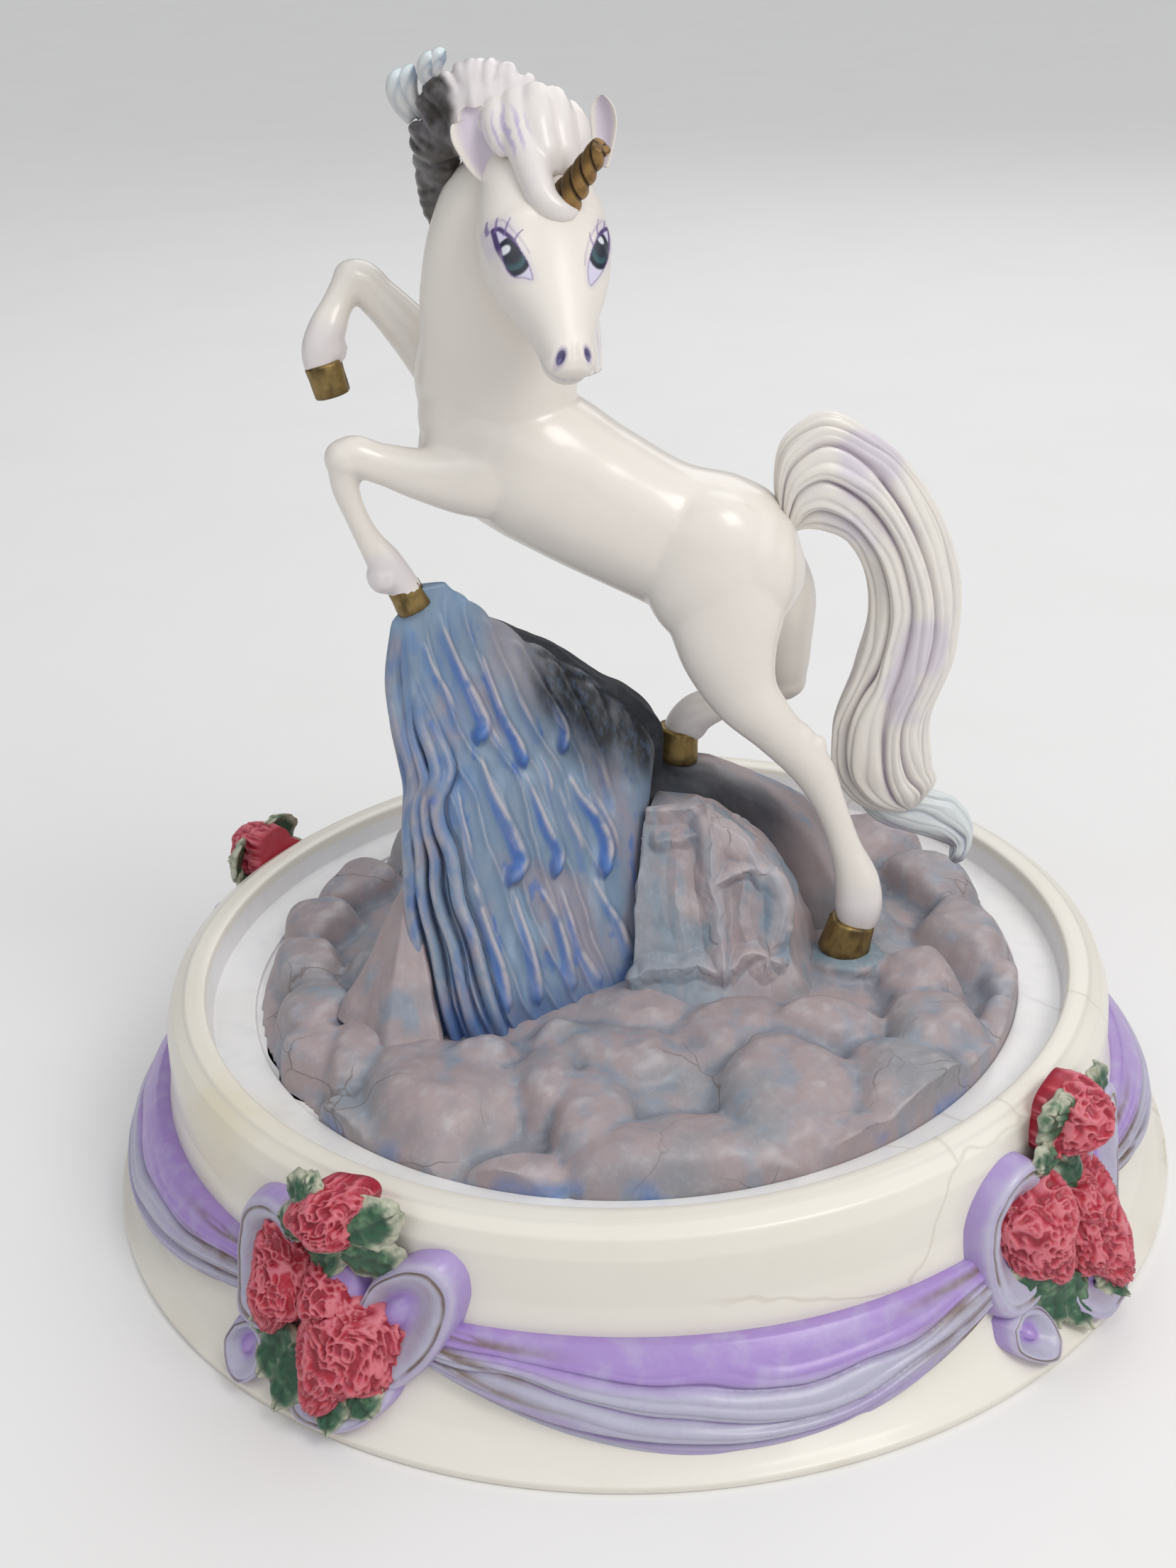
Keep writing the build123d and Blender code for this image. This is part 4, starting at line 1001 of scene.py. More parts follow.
        # shade: painted shadow of the body on the slope in front of the ridge
        shade = fade(y, 2.0, 7.0) * ramp(z, 33, 45) * fade(x, 17, 28)
        ridge.wash(((0.035, 0.038, 0.05), 0.85 * shade), (self.black, 0.96 * dark))
        wash = FINISHES[Slot.ROCK]
        dull = replace(wash, name="dark rock", roughness=0.72, mottle=0.1, streak=0.05, crack=0.3)
        show("rear_ridge_cast", ridge, Slot.ROCK, "rear_ridge", finish=dull)

    def cascade(self) -> None:
        """The rock on the right of the water: a block whose edges stand up round two hollow panels.

        Across an edge the rise falls evenly: one less the distance over one and a half half widths.
        """
        grid = self.block(self.cascade_levels, (104, 96, 40, 40, 24), 150, 23)
        spots = grid.reshape(-1, 3)
        flat = spots[:, [0, 2]]
        facing = outward_of(grid)
        front = ramp(-facing[..., 1].ravel(), -0.1, 0.4)
        rise = np.zeros(len(spots))
        for points, wide, high in self.edges:
            line = smooth_line(points, 40)
            near = inside_box(flat, line, 2.4 * wide)
            bend = beside(line, flat[near])[0] + 0.25 * layered(spots[near], 1.6, 4)
            rise[near] = np.maximum(rise[near], 1.6 * high * np.clip(1 - np.abs(bend) / (1.5 * wide), 0, 1))
        rise = ((rise + 0.5 * layered(spots * [1, 1, 0.5], 7.0, 61)) * front).reshape(grid.shape[:2])
        shell = self.painted(shell_of(grid + facing * rise[..., None]), 0.2, 6, 20)
        high = np.concatenate([rise.ravel(), [0, 0]])
        spots = shell.corners
        streaks = ramp(layered(spots * [1, 1, 0.18], 1.7, 41), -0.05, 0.7) * ramp(spots[:, 2], 27, 31)
        panel = ramp(layered(spots, 4, 44), -0.3, 0.5) * fade(high, 0.1, 0.5)
        cool = fade(spots[:, 0] + 0.5 * (spots[:, 2] - 44) + 2 * layered(spots, 3, 77), 1.5, 7.0)
        shell.wash(
            ((0.2, 0.275, 0.345), 0.7 * streaks),
            ((0.4, 0.315, 0.32), 0.55 * panel),
            ((0.5, 0.44, 0.45), 0.55 * ramp(high, 0.7, 1.3)),
            ((0.215, 0.285, 0.345), 0.6 * cool),
        )
        show("cascade_rock_cast", shell, Slot.ROCK, "cascade_rock")


@dataclass
class Falls:
    """The fluted sheet of water: one surface over height and way round, raised along flutes and drips.

    A place on it is given by its reach (millimetres along the level from the left front corner, to the right)
    and its height. Each flute is a line of such places with a half width, a rise at its lower end and how
    much of a round drip it ends in. Each fold is such a line with a half width.
    """

    sheet: Color = (0.18, 0.258, 0.36)
    deep: Color = (0.05, 0.145, 0.44)
    crest: Color = (0.52, 0.47, 0.485)
    mauve: Color = (0.275, 0.255, 0.305)
    # black: near-black under the skyline, partly black paint and partly painted shadow
    black: Color = (0.006, 0.008, 0.012)
    levels: Sequence[tuple[float, tuple[tuple[float, float], ...]]] = (
        (24.6, ((-26, -19.4), (-18.6, -22), (1.2, -13), (3, -5.4), (-26.2, -10))),
        (30.6, ((-26.2, -18.8), (-18.7, -22.1), (1.3, -12), (3, -4), (-26.4, -9))),
        (42, ((-26.4, -15), (-20.6, -18), (1.4, -7.6), (3, -1), (-26.8, -7))),
        (50, ((-26.2, -12.8), (-21.4, -15.2), (2.8, -4.6), (3.6, 0), (-26.6, -5.5))),
        (56, ((-25.5, -11.2), (-22.2, -13.2), (4, -2.2), (4.2, 1.6), (-26, -4.5))),
        (60, ((-26.2, -10), (-23, -11.8), (1.6, -1.6), (1.8, 2), (-26.8, -3.6))),
        (64, ((-27, -8.8), (-23.8, -10.4), (-2.4, -1.4), (-2.2, 1.8), (-27.2, -3))),
        (68, ((-27.4, -7.8), (-24.2, -9.2), (-8, -1.6), (-7.8, 1.4), (-27.4, -2.8))),
        (70, ((-27.4, -7.5), (-24.4, -8.8), (-11.2, -2), (-11, 1), (-27.4, -2.9))),
        (72.6, ((-27.2, -7.2), (-24.6, -8.4), (-14.2, -2.6), (-14, 0.4), (-27.2, -3))),
        (74, ((-27, -7), (-24.7, -8), (-15.9, -3.2), (-15.7, -0.8), (-27, -3.2))),
        (76, ((-26.7, -6.8), (-24.8, -7.6), (-17, -4), (-17, -2), (-26.4, -3.4))),
        (78.2, ((-25.2, -6.4), (-24.2, -7), (-18.9, -4.9), (-18.9, -3.2), (-25, -4))),
        (79.6, ((-22.8, -6.3), (-22.4, -6.6), (-20.4, -5.6), (-20.4, -4.6), (-22.6, -4.9))),
    )
    skyline: Sequence[tuple[float, float]] = (
        (-22, 78), (-19, 76), (-16.4, 72.8), (-14.4, 72.8), (-11.2, 69.8), (-7.7, 69.2), (-4.4, 65.6),
        (-2.7, 63.9), (-1, 64.3), (1.6, 61.8), (4.6, 58.6),
    )
    flutes: Sequence[tuple] = (
        (((5.6, 76.7), (7.9, 72), (9.5, 68.1), (10.8, 64.6), (11.2, 62.5), (10.5, 61.5)), 2, 0.85, 1),
        (((11.9, 70.9), (12.8, 66.8), (13.8, 62.5), (14.7, 60), (15.1, 58.1)), 1.7, 0.8, 1),
        (((15.1, 68.3), (15.8, 65.8), (16.7, 62.7), (17.3, 60.2)), 1.5, 0.4, 0),
        (((18.8, 68.3), (19.2, 65.8), (20.3, 62.9), (20.9, 60.4), (20.4, 58.5)), 1.5, 0.75, 1),
        (((21.8, 65), (22.6, 62.5), (23.4, 59.4)), 1.5, 0.35, 0),
        (((4.4, 73.6), (5.7, 70.1), (7.3, 66.6), (8.1, 63.1)), 1.5, 0.45, 0),
        (((9.7, 60), (10.3, 56.1), (12.3, 52.3), (14.1, 48.6), (14.7, 46.5), (13.8, 45.2)), 2.3, 0.95, 1),
        (((14.6, 56.9), (16.3, 53.4), (18.2, 49.4), (19.6, 46.6), (19.4, 44.9)), 1.8, 0.8, 1),
        (((20.2, 55.6), (22.1, 52.6), (24.5, 49.7), (26, 46.3), (26, 43.6)), 2.1, 0.85, 1),
        (((22.8, 54.4), (25, 50.9), (27, 47), (27.7, 44.1)), 1.5, 0.5, 0),
        (((19, 54.6), (20.6, 50.9), (22.4, 47.2), (23.1, 44.5)), 1.5, 0.4, 0),
        (((6.3, 56.5), (6.8, 53.6), (7.8, 50.3), (8.6, 47)), 1.3, 0.6, 0),
        (((8.2, 46.4), (9.2, 42.8), (10.4, 38.5), (11.2, 36), (11.9, 31.6)), 2, 0.8, 0.6),
        (((13.4, 44), (14.3, 40.5), (15.1, 37.4), (15.6, 34.8), (16, 31.4)), 2, 0.85, 0.6),
        (((16.8, 43.6), (18.7, 39.9), (19.8, 36.2), (20.6, 31.6)), 1.8, 0.75, 0.6),
        (((19.7, 43), (20.9, 38.5), (21.8, 35.1), (24, 31.2)), 1.8, 0.6, 0.4),
        (((24, 43), (25.6, 39.5), (27.3, 36.6), (28.6, 33.2)), 1.8, 0.65, 0.4),
        (((10.9, 66), (11.4, 63.4), (12.4, 60.6), (13, 58.2)), 1.3, 0.35, 0),
        (((17, 58.5), (18, 55.5), (18.6, 52.6)), 1.3, 0.35, 0),
        (((23.6, 58.2), (25, 55), (26.6, 51)), 1.6, 0.35, 0),
    )
    folds: Sequence[tuple] = (
        (
            (
                (0.8, 75.6), (0.3, 70.3), (0.6, 66), (0.8, 62.3), (1.2, 58.3), (0.9, 56), (-0.2, 53.4),
                (-0.1, 49.9), (0.3, 45.5), (0, 42.4), (0.6, 38.3), (1.2, 33.5), (2.4, 25),
            ),
            0.95,
        ),
        (
            (
                (2, 67.6), (1.9, 62.9), (2.5, 59.9), (2.7, 57.7), (1.2, 55), (1.2, 52.4), (1.8, 49),
                (1.7, 45.5), (2.2, 41.8), (3, 38.7), (3.6, 34), (5.2, 25),
            ),
            0.8,
        ),
        (
            (
                (3.3, 68.1), (3.6, 63.9), (4.2, 60.6), (4.2, 58.2), (2.4, 55), (2.7, 52.1), (3.8, 48.6),
                (3.7, 45.5), (4.4, 42.4), (5.6, 39.1), (6.4, 34), (8.4, 25),
            ),
            0.8,
        ),
        (
            (
                (4.1, 66.4), (5.3, 62.5), (5.8, 58.6), (3.9, 55.4), (4.3, 52.6), (5.7, 49.6), (6.2, 47),
                (6.6, 44.1), (8, 39.9), (9, 35), (11.4, 25),
            ),
            0.85,
        ),
        (
            (
                (-1.6, 72), (-1.8, 66), (-1.3, 60), (-0.8, 56.5), (-1.9, 52.6), (-1.8, 48), (-1.5, 43),
                (-1.2, 37), (-0.2, 25),
            ),
            0.85,
        ),
        (((-3.6, 70), (-3.8, 64), (-3.2, 58), (-3.7, 52), (-3.5, 46), (-3.2, 38), (-2.2, 25)), 0.95),
    )
    counts: Sequence[int] = (72, 160, 12, 20, 40)

    def relief(self, reach: Array, rises: Array, places: Array) -> tuple[Array, Array, Array, Array]:
        """How far each point is raised, and where crests, drip ends and the painted shade of the gaps lie.

        Across a flute the rise is 1 - s to the power 1.3 on its gentle left side and 1 - s squared on its
        steep right side, where s is the distance over the half width. Both widen down the flute. The
        folds at the left edge are arches, the square root of 1 - s squared, with gaps between them.
        """
        flat = np.column_stack([reach, rises])
        ease = layered(places * [0.6, 0.6, 0.16], 2.6, 31)
        lean = reach - 0.36 * (78 - rises) + 0.5 * layered(places, 9, 3)
        wave = 1 - np.abs(np.sin(np.pi * lean / 2.9 + 0.5 * ease))
        body = ramp(reach, 2.0, 6.0) * fade(reach, 24.0, 28.5)
        rise = body * (0.6 * wave**1.6 + 0.12 * ease)
        crest = body * 0.55 * ramp(wave, 0.8, 1.0)
        end, arch, zone = (np.zeros_like(rise) for _ in range(3))
        for points, wide, high, drop in self.flutes:
            line = smooth_line(points, 28)
            near = inside_box(flat, line, 2.4 * wide)
            side, down = beside(line, flat[near])
            half = wide * (0.45 + 0.55 * down**1.2)
            left, right = np.clip(side / (-1.15 * half), 0, 1), np.clip(side / (0.62 * half), 0, 1)
            fall = np.where(side < 0, (1 - left) ** 1.3, 1 - right**2)
            bulb = np.sqrt(np.clip(1 - ((side + 0.12 * half) / (0.5 * half)) ** 2, 0, 1))
            round_ = drop * ramp(down, 0.86, 1.0)
            tall = 1.75 * high * (0.42 + 0.58 * down**1.1) * ramp(down, -0.02, 0.14)
            tall = tall * (1 - (1 - drop) * ramp(down, 0.55, 1.0))
            bump = tall * (fall * (1 - round_) + bulb * round_ * 1.15)
            here = rise[near]
            rise[near] = np.maximum(here, bump) + 0.25 * np.minimum(here, bump)
            ridge = fade(np.abs(side - 0.06 * half), 0.05 * half, 0.34 * half) * (1 - round_)
            crest[near] = np.maximum(crest[near], ridge * ramp(tall, 0.1, 0.5))
            streak = fade(np.abs(side + 0.34 * half), 0.16 * half, 0.48 * half) * ramp(down, 0.05, 0.5)
            end[near] = np.maximum(end[near], np.maximum((0.35 + 0.65 * drop) * streak, bulb * round_))
        for points, wide in self.folds:
            line = smooth_line(points, 60)
            near = inside_box(flat, line, 3.0)
            side, down = beside(line, flat[near])
            s = np.abs(side) / wide
            arch[near] = np.maximum(arch[near], np.sqrt(np.clip(1 - s**2, 0, 1)) * ramp(down, -0.02, 0.22))
            zone[near] = np.maximum(zone[near], fade(s, 1.0, 1.7) * ramp(down, 0.0, 0.25))
            crest[near] = np.maximum(crest[near], 0.55 * fade(s, 0.1, 0.55) * ramp(down, 0.0, 0.2))
        zone = np.maximum(zone, ramp(-reach, -1.6, 0.4))
        rise = np.where(arch > 0, np.maximum(rise, 1.05 * arch), rise - 0.5 * zone)
        # the last mask is painted shade in the gaps between the folds and along the left edge
        return rise, crest, end, zone * fade(arch, 0.15, 0.62) * (1 - 0.7 * ramp(rises, 58, 70))

    def build(self) -> None:
        """Raises the flutes from the bare sheet and paints crests, drip ends, painted shade in the gaps and
        the near-black skyline, partly black paint and partly painted shadow.
        """
        grid, reach = ringed(self.levels, self.counts, 215, 13, 11)
        spots, run = grid.reshape(-1, 3), reach.ravel()
        x, _, z = spots.T
        rise, crest, end, gap = self.relief(run, z, spots)
        crest = np.clip(crest, 0, 1)
        calm = fade(z, 75.5, 79.3) * ramp(run, -5.5, -2.5) * fade(run, 30.5, 33.0)
        soft = running_mean(running_mean((rise * calm).reshape(reach.shape), 3, True, axis=1), 3, False)

        def drawn(squeeze: float, size: float, seed: int, low: float, high: float) -> Array:
            """Noise drawn out down the water, as a share from low to high."""
            return ramp(layered(spots * [1, 1, squeeze], size, seed), low, high)

        left = 0.7 * fade(run, 6.5, 10.5) * drawn(0.3, 1.6, 71, -0.5, 0.4) * (1 - crest)
        foot = 0.75 * fade(z + 1.6 * layered(spots * [1, 1, 0.4], 2.0, 33), 27.5, 34.5)
        sky = np.interp(x, *np.array(self.skyline).T) - z
        rosy = ramp(x, -17.0, -15.0) * fade(x, -9.5, -6.5) * fade(sky, 3.0, 9.0)
        color = washed(
            self.sheet,
            (self.mauve, 0.95 * drawn(0.25, 3.4, 3, -0.15, 0.75)),
            ((0.3, 0.4, 0.52), 0.6 * drawn(0.3, 2.2, 13, 0.1, 0.9)),
            (self.deep, 0.8 * drawn(0.35, 1.5, 23, 0.55, 1.1)),
            (self.deep, 0.92 * np.clip(end, 0, 1)),
            (self.crest, 0.8 * crest * drawn(1, 2.0, 51, -0.9, 0.0)),
            ((0.1, 0.2, 0.42), left),
            # painted shade in the gaps between the folds
            ((0.014, 0.03, 0.08), 0.94 * gap),
            ((0.045, 0.11, 0.3), foot),
            ((0.22, 0.34, 0.48), 0.7 * ramp(z, 72.5, 76.5) * fade(run, 9, 13)),
            ((0.3, 0.275, 0.3), 0.8 * rosy),
            # near-black below the skyline: partly black paint, partly painted shadow
            (self.black, ramp(x, -13.5, -8.5) * fade(sky + 1.4 * layered(spots, 4, 9), 4.5, 13.0)),
        )
        raised = grid + outward_of(grid) * soft[..., None]
        show("waterfall_cast", shell_of(raised, color.reshape(grid.shape)), Slot.WATER, "waterfall")


@dataclass
class Unicorn:
    """The one cream skin of body, neck and legs, with hooves."""

    cream: Color = (0.79, 0.742, 0.68)
    lilac: Color = (0.52, 0.46, 0.62)
    # shade: the color of the painted shade in the skin's hollows
    shade: Color = (0.56, 0.5, 0.47)
    body: Sequence[tuple[float, ...]] = (
        (-0.222, 0, 0.658, 0.022, 0.022), (-0.205, 0, 0.655, 0.05, 0.048), (-0.16, 0, 0.648, 0.076, 0.07),
        (-0.105, 0, 0.628, 0.09, 0.082), (-0.03, 0, 0.58, 0.088, 0.08), (0.055, 0, 0.53, 0.085, 0.076),
        (0.12, 0, 0.502, 0.092, 0.086), (0.172, 0, 0.482, 0.078, 0.082), (0.205, 0, 0.474, 0.05, 0.06),
        (0.22, 0, 0.472, 0.02, 0.026),
    )
    neck: Sequence[tuple[float, ...]] = (
        (-0.142, 0, 0.63, 0.07, 0.058), (-0.13, 0, 0.715, 0.093, 0.068),
        (-0.128, -0.008, 0.77, 0.087, 0.061), (-0.134, -0.018, 0.83, 0.073, 0.054),
        (-0.13, -0.03, 0.885, 0.062, 0.05), (-0.112, -0.042, 0.93, 0.055, 0.048),
        (-0.09, -0.055, 0.955, 0.04, 0.038),
    )
    limbs: Sequence[Sequence[tuple[float, ...]]] = (
        (
            (-0.14, -0.05, 0.618, 0.048, 0.03), (-0.178, -0.06, 0.624, 0.04, 0.031),
            (-0.217, -0.07, 0.634, 0.03, 0.027), (-0.262, -0.075, 0.65, 0.023, 0.022),
            (-0.298, -0.079, 0.66, 0.021, 0.021), (-0.303, -0.079, 0.652, 0.019, 0.02),
        ),
        (
            (-0.3, -0.08, 0.66, 0.021, 0.021), (-0.303, -0.079, 0.63, 0.0165, 0.0165),
            (-0.294, -0.075, 0.59, 0.0135, 0.0135), (-0.281, -0.071, 0.556, 0.0155, 0.015),
            (-0.268, -0.068, 0.532, 0.02, 0.019), (-0.253, -0.066, 0.51, 0.018, 0.018),
            (-0.244, -0.065, 0.49, 0.019, 0.018),
        ),
        (
            (-0.15, 0.045, 0.68, 0.046, 0.03), (-0.19, 0.055, 0.722, 0.038, 0.03),
            (-0.228, 0.062, 0.766, 0.029, 0.026), (-0.262, 0.066, 0.804, 0.024, 0.023),
            (-0.288, 0.064, 0.828, 0.022, 0.022), (-0.298, 0.06, 0.826, 0.019, 0.019),
        ),
        (
            (-0.289, 0.063, 0.829, 0.022, 0.022), (-0.308, 0.048, 0.803, 0.018, 0.018),
            (-0.321, 0.034, 0.778, 0.022, 0.021), (-0.331, 0.025, 0.754, 0.021, 0.02),
            (-0.328, 0.021, 0.73, 0.019, 0.018),
        ),
        (
            (0.12, -0.036, 0.52, 0.072, 0.052), (0.124, -0.048, 0.45, 0.072, 0.046),
            (0.128, -0.056, 0.395, 0.058, 0.039), (0.145, -0.06, 0.343, 0.042, 0.031),
            (0.182, -0.061, 0.295, 0.031, 0.025), (0.224, -0.06, 0.243, 0.0265, 0.0215),
            (0.248, -0.064, 0.19, 0.0195, 0.0175), (0.266, -0.07, 0.135, 0.02, 0.0185),
            (0.28, -0.075, 0.088, 0.028, 0.025), (0.281, -0.079, 0.056, 0.029, 0.027),
            (0.276, -0.08, 0.03, 0.022, 0.021),
        ),
        (
            (0.155, 0.038, 0.48, 0.062, 0.046), (0.184, 0.052, 0.42, 0.058, 0.044),
            (0.198, 0.062, 0.36, 0.04, 0.034), (0.206, 0.068, 0.308, 0.025, 0.024),
            (0.208, 0.069, 0.296, 0.02, 0.02),
        ),
        (
            (0.206, 0.069, 0.303, 0.024, 0.023), (0.158, 0.07, 0.285, 0.019, 0.018),
            (0.118, 0.07, 0.275, 0.022, 0.021), (0.09, 0.07, 0.262, 0.025, 0.024),
            (0.072, 0.07, 0.244, 0.022, 0.021), (0.066, 0.07, 0.23, 0.018, 0.017),
        ),
    )
    muscles: Sequence[tuple[float, ...]] = (
        (11, -4.6, 79.5, 8.2, 4.8, 9.5), (-15.5, -4.2, 94.6, 6.2, 3.6, 7), (-15.5, 4.2, 94.6, 6.2, 3.6, 7),
        (11.5, 4, 80, 8, 5, 9), (-16.5, -1.5, 98.5, 5.6, 5.4, 6.5), (20.4, -6.1, 57.5, 2.7, 2.2, 3.2),
        (-29.9, -7.9, 96, 2.5, 2.3, 2.3), (-28.9, 6.3, 112.9, 2.4, 2.3, 2.3),
        (20.6, 6.8, 60.6, 2.5, 2.4, 2.4), (22.7, -6.1, 57.2, 1.7, 1.3, 1.6),
    )
    fetlocks: Sequence[tuple[float, ...]] = (
        (-26.6, -6.9, 83, -0.1, -1), (-32.4, 3.2, 107.2, 0.1, -1), (28.1, -7.6, 37.8, 0.3, -1),
        (9, 7, 56.2, -0.5, -0.9),
    )

    # name, then the middle of the foot and of the top, and their radii
    feet: Sequence[tuple] = (
        ("near_hind_hoof", (26.4, -8, 29.6), (27.6, -8, 34.2), 3.15, 2.75),
        ("far_hind_hoof", (6.3, 7, 50.5), (7.1, 7, 54.6), 3.1, 2.5),
        ("near_fore_hoof", (-23.6, -6.3, 77.2), (-24.9, -6.4, 80.2), 2.1, 1.9),
        ("far_fore_hoof", (-31.8, 2, 100.6), (-32.7, 2.2, 104.4), 2, 2.15),
    )

    def tufts(self) -> list[Shell]:
        """Short locks of feathering round each fetlock: tapered tubes that point down and out."""
        made = []
        t = np.linspace(0, 1, 6)[:, None]
        bulge = np.sin(np.pi * (0.15 + 0.85 * t)) ** 0.8
        size = 0.25 + 0.42 * np.sin(np.pi * t[:, 0]) ** 0.7
        for k, (x, y, z, lean, fall) in enumerate(self.fetlocks):
            axis = unit(np.array([lean, 0.0, fall]))
            side = unit(np.cross(axis, [0.0, 1.0, 0.0]))
            for j in range(10):
                a = 2 * np.pi * j / 10 + 0.7 * k
                out = np.cos(a) * side + np.sin(a) * np.cross(axis, side)
                path = np.array([x, y, z]) + axis * 3.4 * t + out * (0.7 + 1.05 * bulge)
                made.append(shell_of(oval_tube(np.column_stack([path, size, size]), 24, 14)))
        return made

    def build(self) -> None:
        """Fuses the limbs and paints the skin: painted shade in the wide hollows and the deeper fetlock
        creases, and the lilac wash on the fetlocks.
        """
        lines = (self.body, self.neck, *self.limbs)
        tubes = [shell_of(oval_tube(placed(rows), 110, 64, 2.15)) for rows in lines]
        lumps = [ball(m[:3], m[3:]) for m in self.muscles]
        skin = fused([*tubes, *lumps, *self.tufts()], 0.36, 6)
        spots, fine = skin.corners, hollowness(skin, 6)
        middles = np.array([f[:3] for f in self.fetlocks]) - [0, 0, 1.4]
        tuft = fade(np.linalg.norm(spots[:, None] - middles[None], axis=-1).min(1), 2.6, 4.6)
        skin.paint = washed(
            self.cream,
            # painted shade in the wide hollows
            (self.shade, 0.5 * ramp(hollowness(skin, 30), 0.15, 0.9)),
            ((0.66, 0.61, 0.68), 0.5 * tuft),
            (self.lilac, 0.75 * tuft * ramp(fine, 0.0, 0.1)),
            # painted shade in the deeper creases of the fetlock tufts
            ((0.36, 0.3, 0.32), 0.5 * tuft * ramp(fine, 0.08, 0.22)),
        )
        nodes = ("body", "neck", "near_foreleg", "far_foreleg", "near_hindleg", "far_hindleg")
        show("unicorn_skin", skin, Slot.CREAM, *nodes)
        self.hooves()

    def hooves(self) -> None:
        """Four gilt hooves: leaning cones with a shallow cleft at the heel and a worn edge."""
        t = np.array([0, 0.02, 0.06, 0.3, 0.6, 0.9, 0.97, 1.0])
        swell = np.array([0.86, 0.97, 1.0, 1.0, 0.98, 1.0, 0.97, 0.86])
        u = circle(72)
        front = np.cos(u - np.pi)
        toe = 1 + 0.1 * (front > 0) * front - 0.12 * bell(np.mod(u + np.pi, 2 * np.pi), np.pi, 0.22)
        for name, *ends, wide, narrow in self.feet:
            foot, top = np.array(ends, float)
            axis = unit(top - foot)
            aside = unit(np.cross([0.0, 1.0, 0.0], axis))
            ring = aside * (np.cos(u) * toe)[:, None] + np.cross(axis, aside) * (np.sin(u) * toe)[:, None]
            size = (wide + (narrow - wide) * t) * swell
            grid = (foot + (top - foot) * t[:, None])[:, None] + ring * size[:, None, None]
            worn = ramp(layered(grid, 0.9, 5), -0.1, 0.8) + 0.6 * fade(t, 0.0, 0.22)[:, None]
            color = blend((0.29, 0.2, 0.072), (0.045, 0.032, 0.018), 0.75 * np.clip(worn, 0, 1))
            show(f"{name}_gilt", shell_of(grid, color), Slot.GILT, name)


